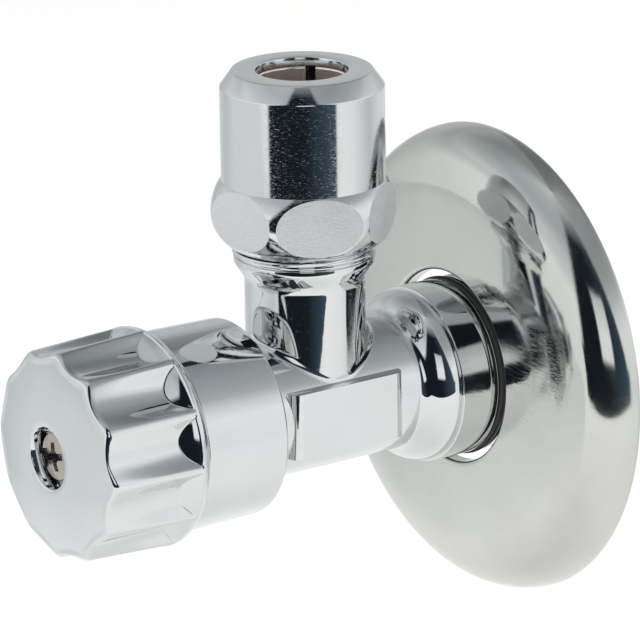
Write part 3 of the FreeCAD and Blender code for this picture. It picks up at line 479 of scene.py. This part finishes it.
flat_chrome = ground("ground chrome on the nut flats", (0.80, 0.815, 0.83), (0.70, 0.72, 0.73),
                     0.4, 0.24, 0.46, 0.06)
nickel = ground("nickel on the split ring", (1.0, 0.92, 0.86), (0.88, 0.78, 0.70),
                0.85, 0.06, 0.16, 0.004, "outlet", 0.0)
print("flats and split ring made")

# %% Nickel screw, brass and steel
screw_nickel = metal("nickel on the screw", (0.50, 0.46, 0.42), (0.42, 0.37, 0.33), 0.14, 0.3,
                     wave=0.012, wave_size=0.6, scratch=0.8)
turned_brass = metal("turned brass", (0.78, 0.58, 0.28), (0.66, 0.47, 0.22), 0.2, 0.34, "valve",
                     ring=0.004, pitch=0.14)
spring_steel = metal("blued spring steel", (0.46, 0.47, 0.48), (0.38, 0.39, 0.42), 0.22, 0.38, "valve",
                     wave=0.004)
print("other metals made")

# %% [markdown]
# Rubber and the slide washer's plastic are not metals: they scatter light. Moulded rubber
# is nearly black with a fine grain and dusty patches, and the plastic is a warm white.

# %% Rubber and plastic
def moulded(name, colour, dusty, roughness, grain):
    made, tree = material(name)
    where = own_coordinates(tree)
    dust = add_node(tree, "ShaderNodeGroup", None, node_tree=smears)
    tree.links.new(where, dust.inputs["Vector"])
    bump = add_node(tree, "ShaderNodeBump", {
        "Height": noise(tree, where, 9.0, 3.0), "Strength": grain, "Distance": 0.0001})
    shader = add_node(tree, "ShaderNodeBsdfPrincipled", {
        "Base Color": mix_colours(tree, dust.outputs["Mask"], colour, dusty),
        "Roughness": ramp_between(tree, dust.outputs["Mask"], 0.0, 1.0, roughness, roughness + 0.15),
        "Normal": bump.outputs["Normal"]})
    add_node(tree, "ShaderNodeOutputMaterial", {"Surface": shader.outputs["BSDF"]})
    return made


rubber = moulded("black moulded rubber", (0.018, 0.018, 0.019), (0.05, 0.05, 0.052), 0.42, 0.4)
slide_plastic = moulded("white slide plastic", (0.72, 0.71, 0.66), (0.66, 0.65, 0.6), 0.38, 0.15)
print("rubber and plastic made")

# %% Give every CAD node its finish
finishes = {
    "chrome_body": body_chrome, "chrome_cover": cover_chrome, "chrome_handle": knob_chrome,
    "chrome_sleeve": sleeve_chrome, "chrome_nut": nut_chrome, "screw_steel": screw_nickel,
    "nickel_ring": nickel, "bare_brass": turned_brass, "spring_steel": spring_steel,
    "slide_plastic": slide_plastic, "black_rubber": rubber,
}
for part in frame["record"]["subparts"]:
    for slot in nodes[part["node"]].material_slots:
        slot.material = finishes[part["material_slot"]]

# %% [markdown]
# Most of the valve is turned, so one helper draws half of a piece's section and spins it.
# A corner of the section is its radius and its place along the axis, in millimetres. A
# third number bends the side that leads to it: a vertex is spun about the bend's centre,
# which leaves a fine row of vertices behind. A fourth number cuts the side into short
# lengths, for surfaces whose vertices are moved afterwards.

# %% Draw a section and turn it
def in_space(about, radius, place):
    return Vector((radius, place, 0)) if about == "valve" else Vector((radius, OUTLET_PLACE, place))


def draw_section(bm, corners, about, closed=True):
    first = last = bm.verts.new(in_space(about, *corners[0][:2]))
    facing = Vector((0, 0, 1)) if about == "valve" else Vector((0, -1, 0))
    for before, corner in zip(corners, corners[1:] + corners[:1]):
        if corner is corners[0] and not closed:
            break
        curve = corner[2] if len(corner) > 2 else None
        start, end = in_space(about, *before[:2]), in_space(about, *corner[:2])
        if curve:
            chord = end - start
            half_angle = math.asin(min(1, chord.length / 2 / abs(curve)))
            side = facing.cross(chord).normalized() * math.copysign(abs(curve) * math.cos(half_angle), curve)
            steps = max(3, math.ceil(math.degrees(half_angle) / 2.5))
            swept = bmesh.ops.spin(
                bm, geom=[last], cent=(start + end) / 2 + side, axis=facing,
                angle=math.copysign(2 * half_angle, curve), steps=steps)
            last = next(item for item in swept["geom_last"] if isinstance(item, bmesh.types.BMVert))
            last.co = end
        else:
            cuts = corner[3] if len(corner) > 3 else 1
            for step in range(1, cuts + 1):
                following = bm.verts.new(start.lerp(end, step / cuts))
                bm.edges.new((last, following))
                last = following
    return first, last


def turned(corners, about="valve", steps=192, angle=360.0, start=0.0, closed=True):
    """Spins a section about the valve's or the outlet's axis."""
    bm = bmesh.new()
    draw_section(bm, corners, about, closed)
    bmesh.ops.remove_doubles(bm, verts=bm.verts, dist=1e-4)
    axis = Vector((0, 1, 0)) if about == "valve" else Vector((0, 0, 1))
    centre = Vector((0, 0, 0)) if about == "valve" else Vector((0, OUTLET_PLACE, 0))
    if start:
        bmesh.ops.rotate(
            bm, verts=bm.verts, cent=centre, matrix=Matrix.Rotation(math.radians(start), 3, axis))
    bmesh.ops.spin(
        bm, geom=bm.verts[:] + bm.edges[:], cent=centre, axis=axis, angle=math.radians(angle),
        steps=steps, use_merge=angle == 360.0)
    bmesh.ops.remove_doubles(bm, verts=bm.verts, dist=1e-4)
    return bm


print("section helper ready")

# %% [markdown]
# A real edge is never perfectly sharp, and in chrome even a hair of rounding catches a
# bright line. Rings of edges are picked by their place in the section and bevelled. Once
# a piece is done it goes to metres, its normals are made to point outwards, and sharp
# edges are marked by their angle. A Weighted Normal modifier keeps the reflections on
# flats and cylinders calm right up to their rounded edges.

# %% Round the rings of a section, and hand a piece over
def soften(bm, about, rings_to_round, segments=4):
    """rings_to_round: radius, place along the axis, and the width of the rounding."""
    for radius, place, width in rings_to_round:
        def on_ring(vert):
            if about == "valve":
                away, along = math.hypot(vert.co.x, vert.co.z), vert.co.y
            else:
                away, along = math.hypot(vert.co.x, vert.co.y - OUTLET_PLACE), vert.co.z
            return abs(away - radius) < 2e-3 and abs(along - place) < 2e-3
        chosen = [edge for edge in bm.edges if all(on_ring(vert) for vert in edge.verts)]
        bmesh.ops.bevel(
            bm, geom=chosen, offset=width, segments=segments, profile=0.5, affect="EDGES",
            material=-1, offset_type="OFFSET", clamp_overlap=True)


def hand_over(bm, name, body, materials, replaces=None, sharp=38.0, weighted=True):
    """Turns a bmesh in millimetres into a finished piece that rides on a body."""
    bmesh.ops.recalc_face_normals(bm, faces=bm.faces)
    bmesh.ops.scale(bm, verts=bm.verts, vec=(0.001, 0.001, 0.001))
    mesh = bpy.data.meshes.new(name)
    bm.to_mesh(mesh)
    bm.free()
    mesh.shade_smooth()
    mesh.set_sharp_from_angle(angle=math.radians(sharp))
    piece = bpy.data.objects.new(name, mesh)
    scene.collection.objects.link(piece)
    for finish in materials:
        mesh.materials.append(finish)
    if weighted:
        even = piece.modifiers.new("even shading", "WEIGHTED_NORMAL")
        even.keep_sharp = True
        even.weight = 60
    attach(piece, body)
    if replaces:
        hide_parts(replaces)
    print(f"{name}: {len(mesh.vertices)} vertices, {len(mesh.polygons)} faces")
    return piece


print("piece helper ready")

# %% [markdown]
# The rosette is one pressed sheet: a shallow dome that curves more and more towards its
# rim, and an edge turned in round the collar. Three bends that run into each other make
# the dome. The section runs round the outside and back inside at the sheet's thickness,
# so one spin makes both faces.

# %% Rosette
bm = turned([
    (11.5, -5.2), (11.5, -6.5), (12.1, -7.1, 0.6), (20.0, -6.617, 90.6), (24.5, -5.411, 14.9),
    (28.0, 0.0, 5.9), (27.2, 0.0), (24.175, -4.68, -5.1), (19.916, -5.821, -14.1), (12.3, -6.3, -89.8),
    (12.3, -5.2),
], steps=256)
soften(bm, "valve", [(28.0, 0.0, 0.12)], 2)
hand_over(bm, "rosette_cover", "rosette", [cover_chrome], "rosette")

# %% [markdown]
# The sleeve is a plain turned ring whose wall widens a little towards the handle. Only its
# two outer edges need care: the back one is rounded and the front one just broken.

# %% Sleeve
bm = turned([
    (10.66, -37.1), (10.66, -48.0), (11.62, -48.0), (11.42, -37.55), (10.97, -37.1, 0.45),
])
soften(bm, "valve", [(11.62, -48.0, 0.12), (10.66, -48.0, 0.06)], 3)
hand_over(bm, "cover_sleeve", "body", [sleeve_chrome], "sleeve")

# %% [markdown]
# The nut starts as a turning too: a crowned foot, a straight skirt, a bevel and a mouth.
# Six planes then cut the crown, as a mill would, and each cut is filled with one flat
# face. That gives the flats their rounded outline without drawing it. The flats are
# ground, not polished, so they get a satin finish, and a small bevel makes the thin light
# line round each of them.

# %% Compression nut
HALF_ACROSS_FLATS, FLATS_TURN = 9.5, -23.7
bm = turned([
    (8.38, 18.9), (8.543, 18.9), (9.4, 26.557, 5.1), (9.4, 37.43), (8.03, 39.3), (5.3, 39.3),
    (5.24, 38.3), (6.04, 38.3), (7.62, 33.4), (7.62, 28.4), (8.38, 28.4),
], about="outlet", steps=240)
soften(bm, "outlet", [(9.4, 37.43, 0.1), (8.03, 39.3, 0.12), (5.3, 39.3, 0.12)], 3)
rim_edges = []
for side in range(6):
    facing = Matrix.Rotation(math.radians(FLATS_TURN + 60 * side), 3, "Z") @ Vector((1, 0, 0))
    cut = bmesh.ops.bisect_plane(
        bm, geom=bm.verts[:] + bm.edges[:] + bm.faces[:], dist=1e-4,
        plane_co=Vector((0, OUTLET_PLACE, 0)) + facing * HALF_ACROSS_FLATS, plane_no=facing,
        clear_outer=True)
    rim = [item for item in cut["geom_cut"] if isinstance(item, bmesh.types.BMEdge)]
    filled = bmesh.ops.contextual_create(bm, geom=rim)
    for face in filled["faces"]:
        face.material_index = 1
    rim_edges += rim
bmesh.ops.bevel(
    bm, geom=[edge for edge in rim_edges if edge.is_valid], offset=0.1, segments=2, profile=0.5,
    affect="EDGES", material=0, offset_type="OFFSET", clamp_overlap=True)
hand_over(bm, "hexagon_nut", "nut", [nut_chrome, flat_chrome], "compression_nut")

# %% [markdown]
# The split ring in the nut's mouth is spun almost all the way round. The gap that is left
# is the slot that lets the ring close on the tube, and the two open ends are filled.

# %% Split ring
SLOT_WIDTH, SLOT_TURN, MIDDLE_RADIUS = 1.36, 134.4, 6.0
slot_half = math.degrees(SLOT_WIDTH / 2 / MIDDLE_RADIUS)
bm = turned([
    (5.15, 31.1), (7.53, 31.1), (7.53, 33.31), (5.95, 38.21), (5.15, 38.21),
], about="outlet", steps=180, angle=360 - 2 * slot_half, start=SLOT_TURN + slot_half)
open_edges = [edge for edge in bm.edges if edge.is_boundary]
bmesh.ops.holes_fill(bm, edges=open_edges, sides=0)
soften(bm, "outlet", [(5.15, 38.21, 0.28), (5.95, 38.21, 0.1)], 4)
hand_over(bm, "split_ring", "fitting", [nickel], "clamp_ring")

# %% Sealing ring in the groove
RING_THICKNESS, RING_RADIUS, RING_PLACE = 1.2, 10.03, -6.2
bm = bmesh.new()
bmesh.ops.create_circle(bm, cap_ends=False, segments=32, radius=RING_THICKNESS / 2)
bmesh.ops.translate(bm, verts=bm.verts, vec=(RING_RADIUS, RING_PLACE, 0))
bmesh.ops.spin(
    bm, geom=bm.verts[:] + bm.edges[:], cent=(0, 0, 0), axis=(0, 1, 0), angle=math.tau, steps=160,
    use_merge=True)
bmesh.ops.remove_doubles(bm, verts=bm.verts, dist=1e-4)
hand_over(bm, "collar_ring", "body", [rubber], "inlet_seal", sharp=180)

# %% [markdown]
# The handle is a fluted knob. It starts as a turning with one row of vertices for each
# step along its section, and then every vertex of the outside is moved to the fluted
# outline in its direction. Near the front edge that outline is also moved inwards, along
# a quarter circle, which rounds the edge all the way round the flutes. At the back a
# shallow cone rises through each flute and closes it in front of the plain rim.

# %% Outline of the handle
FLUTES, FIRST_FLUTE = 12, math.radians(12.5)
FLUTE_CENTRE, FLUTE_RADIUS = 14.45, 3.5
FRONT_CENTRE, FRONT_RADIUS = 16.2, 4.85
FRONT, DOME_CURVE, LIP = 62.1, 29.72, 3.68
EDGE = 0.85
FACE_CALM = 0.5


def blend_lower(one, other, width):
    """The lower of two radii, rounded off where they cross."""
    near = max(width - abs(one - other), 0.0) / width
    return min(one, other) - near * near * width / 4


def fluted(turn, plain, inset, ramp=0.0, place=61.0):
    """Radius of the knob's outline in one direction; the flutes grow deeper to the back."""
    step = math.tau / FLUTES
    beside = abs((turn - FIRST_FLUTE + step / 2) % step - step / 2)
    forward = max(0.0, min(1.0, (place - 51.5) / 9.0))
    centre = FLUTE_CENTRE + (FRONT_CENTRE - FLUTE_CENTRE) * forward
    radius = FLUTE_RADIUS + (FRONT_RADIUS - FLUTE_RADIUS) * forward + inset
    reach = 0.88 * math.asin(radius / centre)
    held = min(beside, reach)
    root = math.sqrt(radius ** 2 - (centre * math.sin(held)) ** 2)
    slope = centre * math.sin(held) * (centre * math.cos(held) / root - 1)
    flute = centre * math.cos(held) - root + slope * (beside - held)
    if ramp:
        flute = -blend_lower(-flute, -ramp, 0.1)
    return blend_lower(plain - inset, flute, 0.75)


def knob_radius(place):
    return 12.28 - 0.06 + (60.15 - place) * 0.0441


def dome(radius):
    return FRONT - DOME_CURVE + math.sqrt(DOME_CURVE ** 2 - max(radius - 3.55, 0) ** 2)


front_plain = knob_radius(60.35)
print("ridge", round(fluted(FIRST_FLUTE + math.pi / FLUTES, front_plain, 0), 2),
      "flute", round(fluted(FIRST_FLUTE, front_plain, 0), 2), "mm")

# %% Handle
rows = []
section = [(1.85, -59.5), (3.55, -59.5), (3.55, -(FRONT - 0.13)), (LIP, -FRONT)]


def add_row(radius, place, kind, value):
    rows.append((-place, kind, value))
    section.append((radius, -place))


for share in (0.12, 0.3, 0.5, 0.7, 0.84, 0.93, 0.98):
    add_row(LIP + (front_plain - EDGE - LIP) * share, FRONT - 0.9 * share, "face", share)
for step in range(10):
    angle = math.radians(10 * step)
    add_row(front_plain - EDGE * (1 - math.sin(angle)), 61.05 - 0.7 * (1 - math.cos(angle)), "edge", angle)
place = 60.1
while place > 49.55:
    add_row(knob_radius(place), place, "side", place)
    place -= 0.1 if place < 53.0 else (0.6 if place > 54 else 0.3)
back_start = knob_radius(49.5)
section += [
    (back_start, -49.5), (11.85, -48.2, 1.55), (9.6, -48.2), (9.6, -58.45), (5.6, -58.45), (5.6, -53.75),
    (1.85, -53.75)]
bm = turned(section, steps=720)
moved = 0
for vert in bm.verts:
    height, kind, value = min(rows, key=lambda row: abs(row[0] - vert.co.y))
    if abs(height - vert.co.y) > 0.005 or math.hypot(vert.co.x, vert.co.z) < 3.7:
        continue
    turn = math.atan2(vert.co.z, vert.co.x)
    inner = fluted(turn, front_plain, EDGE, 0.0, 60.35)
    edge_place = dome(inner)
    calm = front_plain - EDGE - inner
    inner += calm * FACE_CALM
    if kind == "face":
        radius = LIP + (inner - LIP) * value
        place = dome(radius)
    elif kind == "edge":
        radius = fluted(turn, front_plain, EDGE * (1 - math.sin(value)), 0.0, edge_place - EDGE)
        radius += calm * FACE_CALM * math.cos(value) ** 2
        place = edge_place - EDGE * (1 - math.cos(value))
    else:
        ramp = 10.95 + (51.5 - value) * 0.9 if value < 51.6 else 0.0
        radius = fluted(turn, knob_radius(value), 0, ramp, value)
        place = value + (edge_place - 61.05) * max(0.0, min(1.0, (value - 57) / 3.35))
    vert.co = Vector((radius * math.cos(turn), -place, radius * math.sin(turn)))
    moved += 1
print("moved", moved, "of", len(bm.verts), "vertices")
hand_over(bm, "fluted_handle", "spindle", [knob_chrome], "handle", sharp=50, weighted=False)

# %% [markdown]
# The screw in the handle is a pan head with a cross recess. The head is turned, and the
# recess is cut with a tool of the same shape as a screwdriver's tip: two tapered blades
# and a square core. A Boolean does the cutting, and its result becomes a plain mesh again.

# %% Cut one mesh with another
def carve(bm, cutter):
    """Cuts the cutter out of bm and returns the result; both bmeshes are used up."""
    made = []
    for shape in (bm, cutter):
        bmesh.ops.remove_doubles(shape, verts=shape.verts, dist=1e-4)
        bmesh.ops.recalc_face_normals(shape, faces=shape.faces)
        mesh = bpy.data.meshes.new("in work")
        shape.to_mesh(mesh)
        shape.free()
        piece = bpy.data.objects.new("in work", mesh)
        scene.collection.objects.link(piece)
        made.append(piece)
    cut = made[0].modifiers.new("cut", "BOOLEAN")
    cut.operation = "DIFFERENCE"
    cut.solver = "EXACT"
    cut.object = made[1]
    bpy.context.view_layer.update()
    result = bmesh.new()
    result.from_mesh(made[0].evaluated_get(bpy.context.evaluated_depsgraph_get()).data)
    for piece in made:
        mesh = piece.data
        bpy.data.objects.remove(piece)
        bpy.data.meshes.remove(mesh)
    return result


def tapered(bm, length, width, deep, bottom_length, bottom_width, front, lean=0.0):
    """A block that points into the head, narrower at its bottom."""
    block = bmesh.ops.create_cube(bm, size=1.0)["verts"]
    for vert in block:
        at_front = vert.co.y < 0
        vert.co = Vector((
            math.copysign((length if at_front else bottom_length) / 2, vert.co.x),
            -front - 0.3 if at_front else -front + deep,
            math.copysign((width if at_front else bottom_width) / 2, vert.co.z)))
    bmesh.ops.rotate(bm, verts=block, cent=(0, 0, 0), matrix=Matrix.Rotation(lean, 3, "Y"))


print("cutting helpers ready")

# %% Handle screw
bm = turned([
    (0.0, -61.45), (2.75, -61.1, -10.98), (2.75, -59.55), (1.75, -59.55), (1.75, -52.6), (1.45, -52.3),
    (0.0, -52.3),
], steps=96, closed=False)
soften(bm, "valve", [(2.75, -61.1, 0.22)], 4)
CROSS_TURN = math.radians(-13)
for length, width, deep, bottom_length, bottom_width, lean in (
        (4.3, 0.95, 1.25, 1.5, 0.5, 0.0), (4.31, 0.96, 1.24, 1.51, 0.51, math.pi / 2),
        (1.9, 1.9, 1.4, 0.9, 0.9, math.pi / 4)):
    tip = bmesh.new()
    tapered(tip, length, width, deep, bottom_length, bottom_width, 61.4, CROSS_TURN + lean)
    bm = carve(bm, tip)
hand_over(bm, "cross_screw", "spindle", [screw_nickel], "handle_screw", sharp=30)

# %% [markdown]
# The body is a brass pressing in three parts that run into each other. The barrel is
# turned round the valve's axis, with the inlet's pipe thread at its wall end. A pipe
# thread is a rounded groove that climbs one pitch a turn: the thread's part of the
# section is cut into short lengths, and after the spin each vertex there goes in or out
# by a cosine of its place along the helix.

# %% A thread on a turned piece
def threaded(bm, about, crest, depth, pitch, low, high, run_out):
    """Moves the vertices between two places along the axis onto a right-handed thread."""
    moved = 0
    for vert in bm.verts:
        if about == "valve":
            across, upward, along = vert.co.z, vert.co.x, vert.co.y
        else:
            across, upward, along = vert.co.x, vert.co.y - OUTLET_PLACE, vert.co.z
        away = math.hypot(across, upward)
        if not low < along < high or abs(away - crest) > 1e-3:
            continue
        turn = math.atan2(upward, across) / math.tau
        fade = min(1.0, (along - low) / run_out)
        groove = depth / 2 * (1 - math.cos(math.tau * (along / pitch - turn))) * fade
        scale = (crest - groove) / away
        across, upward = across * scale, upward * scale
        if about == "valve":
            vert.co.z, vert.co.x = across, upward
        else:
            vert.co.x, vert.co.y = across, upward + OUTLET_PLACE
        moved += 1
    return moved


print("thread helper ready")

# %% Barrel, collar and inlet thread
bm = turned([
    (8.02, -44.0), (10.6, -44.0), (10.6, -37.6), (8.0, -37.6), (8.0, -33.8), (8.0, -20.0, None, 4),
    (8.0, -16.56), (8.586, -15.37, -1.5), (10.15, -12.2, 4.0), (10.15, -12.0), (10.42, -12.0),
    (10.42, -7.15), (10.17, -6.9, 0.25), (9.4, -6.9),
    (9.4, -5.4), (10.48, -5.4), (10.48, 7.2, None, 126), (9.68, 8.0), (7.2, 8.0), (7.2, -16.5), (4.6, -16.5),
    (4.6, -19.8), (5.3, -19.8), (5.3, -19.2), (6.4, -19.2), (6.4, -39.2), (8.02, -39.2),
], steps=192)
print("thread vertices:", threaded(bm, "valve", 10.48, 1.1, 1.814, -5.35, 7.19, 1.5))
soften(bm, "valve", [(10.42, -12.0, 0.12), (7.2, 8.0, 0.3), (8.02, -44.0, 0.2)], 3)
HOLE_RADIUS, HOLE_DEPTH = 4.34, 12.0
hole = bmesh.new()
bmesh.ops.create_cone(
    hole, cap_ends=True, segments=96, radius1=HOLE_RADIUS, radius2=HOLE_RADIUS, depth=HOLE_DEPTH)
bmesh.ops.translate(hole, verts=hole.verts, vec=(0, OUTLET_PLACE, HOLE_DEPTH / 2))
bm = carve(bm, hole)
hand_over(bm, "body_barrel", "body", [body_chrome])

# %% [markdown]
# The neck rises out of the barrel with a rounded root. That root is the track of a ball
# that rolls in the corner between two crossing cylinders, so the ball's centre, and the
# points where it touches the neck and the barrel, follow from the two radii. The neck is
# spun with a row of vertices for each step round the ball, and the rows are then moved
# onto the track.

# %% Outlet neck
NECK, BARREL, BALL = 6.95, 8.0, 1.4
ROOT_STEPS = 20
section = [(4.3, 5.0), (7.9, 5.0), (8.35, 5.5)]
root_rows = {(4.3, 5.0): "floor", (7.9, 5.0): "under", (8.35, 5.5): 0.0}
for step in range(1, ROOT_STEPS + 1):
    share = step / ROOT_STEPS
    corner = (round(8.35 - 1.4 * share, 3), round(5.5 + 3.5 * share, 3))
    section.append(corner)
    root_rows[corner] = share
section += [
    (6.95, 10.5), (6.95, 14.3), (7.32, 15.65, -2.1), (8.17, 16.93), (8.17, 17.7), (7.85, 17.7), (7.85, 18.05),
    (8.3, 18.05), (8.3, 26.2, None, 84), (7.5, 27.0), (6.6, 27.0), (5.15, 23.6), (5.15, 17.0), (4.3, 17.0),
]
bm = turned(section, about="outlet", steps=256)
print("thread vertices:", threaded(bm, "outlet", 8.3, 0.85, 1.337, 18.06, 26.19, 0.7))
for vert in bm.verts:
    aside, along = vert.co.x, vert.co.y - OUTLET_PLACE
    away = math.hypot(aside, along)
    corner = min(root_rows, key=lambda spot: abs(spot[0] - away) + abs(spot[1] - vert.co.z))
    if abs(corner[0] - away) + abs(corner[1] - vert.co.z) > 0.005:
        continue
    place = root_rows[corner]
    turn = math.atan2(along, aside)
    out = Vector((math.cos(turn), math.sin(turn), 0))
    centre = out * (NECK + BALL)
    centre.z = math.sqrt((BARREL + BALL) ** 2 - centre.x ** 2)
    touch = Vector((centre.x * BARREL / (BARREL + BALL), centre.y, centre.z * BARREL / (BARREL + BALL)))
    if place == "floor":
        vert.co.z = math.sqrt(7.2 ** 2 - aside ** 2)
        continue
    if place == "under":
        spot = Vector((touch.x * 0.93, touch.y, touch.z * 0.93))
    else:
        to_barrel, to_neck = (touch - centre).normalized(), -out
        between = math.acos(max(-1, min(1, to_barrel.dot(to_neck))))
        ray = math.sin((1 - place) * between) * to_barrel + math.sin(place * between) * to_neck
        spot = centre + ray / math.sin(between) * BALL
    vert.co = Vector((spot.x, spot.y + OUTLET_PLACE, spot.z))
soften(bm, "outlet", [(8.17, 16.93, 0.22), (8.17, 17.7, 0.14), (7.85, 18.05, 0.05), (6.6, 27.0, 0.1)], 3)
hand_over(bm, "outlet_neck", "body", [body_chrome])

# %% [markdown]
# The two spanner flats are pads on the barrel's sides. Each starts as a flat outline with
# well rounded ends, is extruded to the pad's height, and gets a small bevel along its top
# and bottom edges. Its inner side stays inside the barrel's wall.

# %% Spanner flats
PAD_END, PAD_TOP, PAD_FRONT, PAD_BACK, PAD_FACE, PAD_ROOT = 1.3, 3.9, -34.4, -18.9, 8.5, 6.6
bm = bmesh.new()
for side in (-1, 1):
    outline = [(PAD_ROOT, PAD_FRONT)]
    for middle, first in ((PAD_FRONT + PAD_END, 90), (PAD_BACK - PAD_END, 0)):
        for step in range(13):
            angle = math.radians(first - 7.5 * step)
            outline.append((
                PAD_FACE - PAD_END + PAD_END * math.cos(angle), middle - PAD_END * math.sin(angle)))
    outline.append((PAD_ROOT, PAD_BACK))
    corners = [bm.verts.new((side * x, y, -PAD_TOP)) for x, y in outline]
    base = bm.faces.new(corners)
    grown = bmesh.ops.extrude_face_region(bm, geom=[base])["geom"]
    raised = [part for part in grown if isinstance(part, bmesh.types.BMVert)]
    bmesh.ops.translate(bm, verts=raised, vec=(0, 0, 2 * PAD_TOP))
rims = [edge for edge in bm.edges if all(abs(vert.co.x) > 6.7 for vert in edge.verts)
        and abs(edge.verts[0].co.z - edge.verts[1].co.z) < 1e-6]
bmesh.ops.bevel(
    bm, geom=rims, offset=0.35, segments=5, profile=0.5, affect="EDGES", material=-1,
    offset_type="OFFSET", clamp_overlap=True)
pads = hand_over(bm, "spanner_pads", "body", [body_chrome])
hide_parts("valve_body")
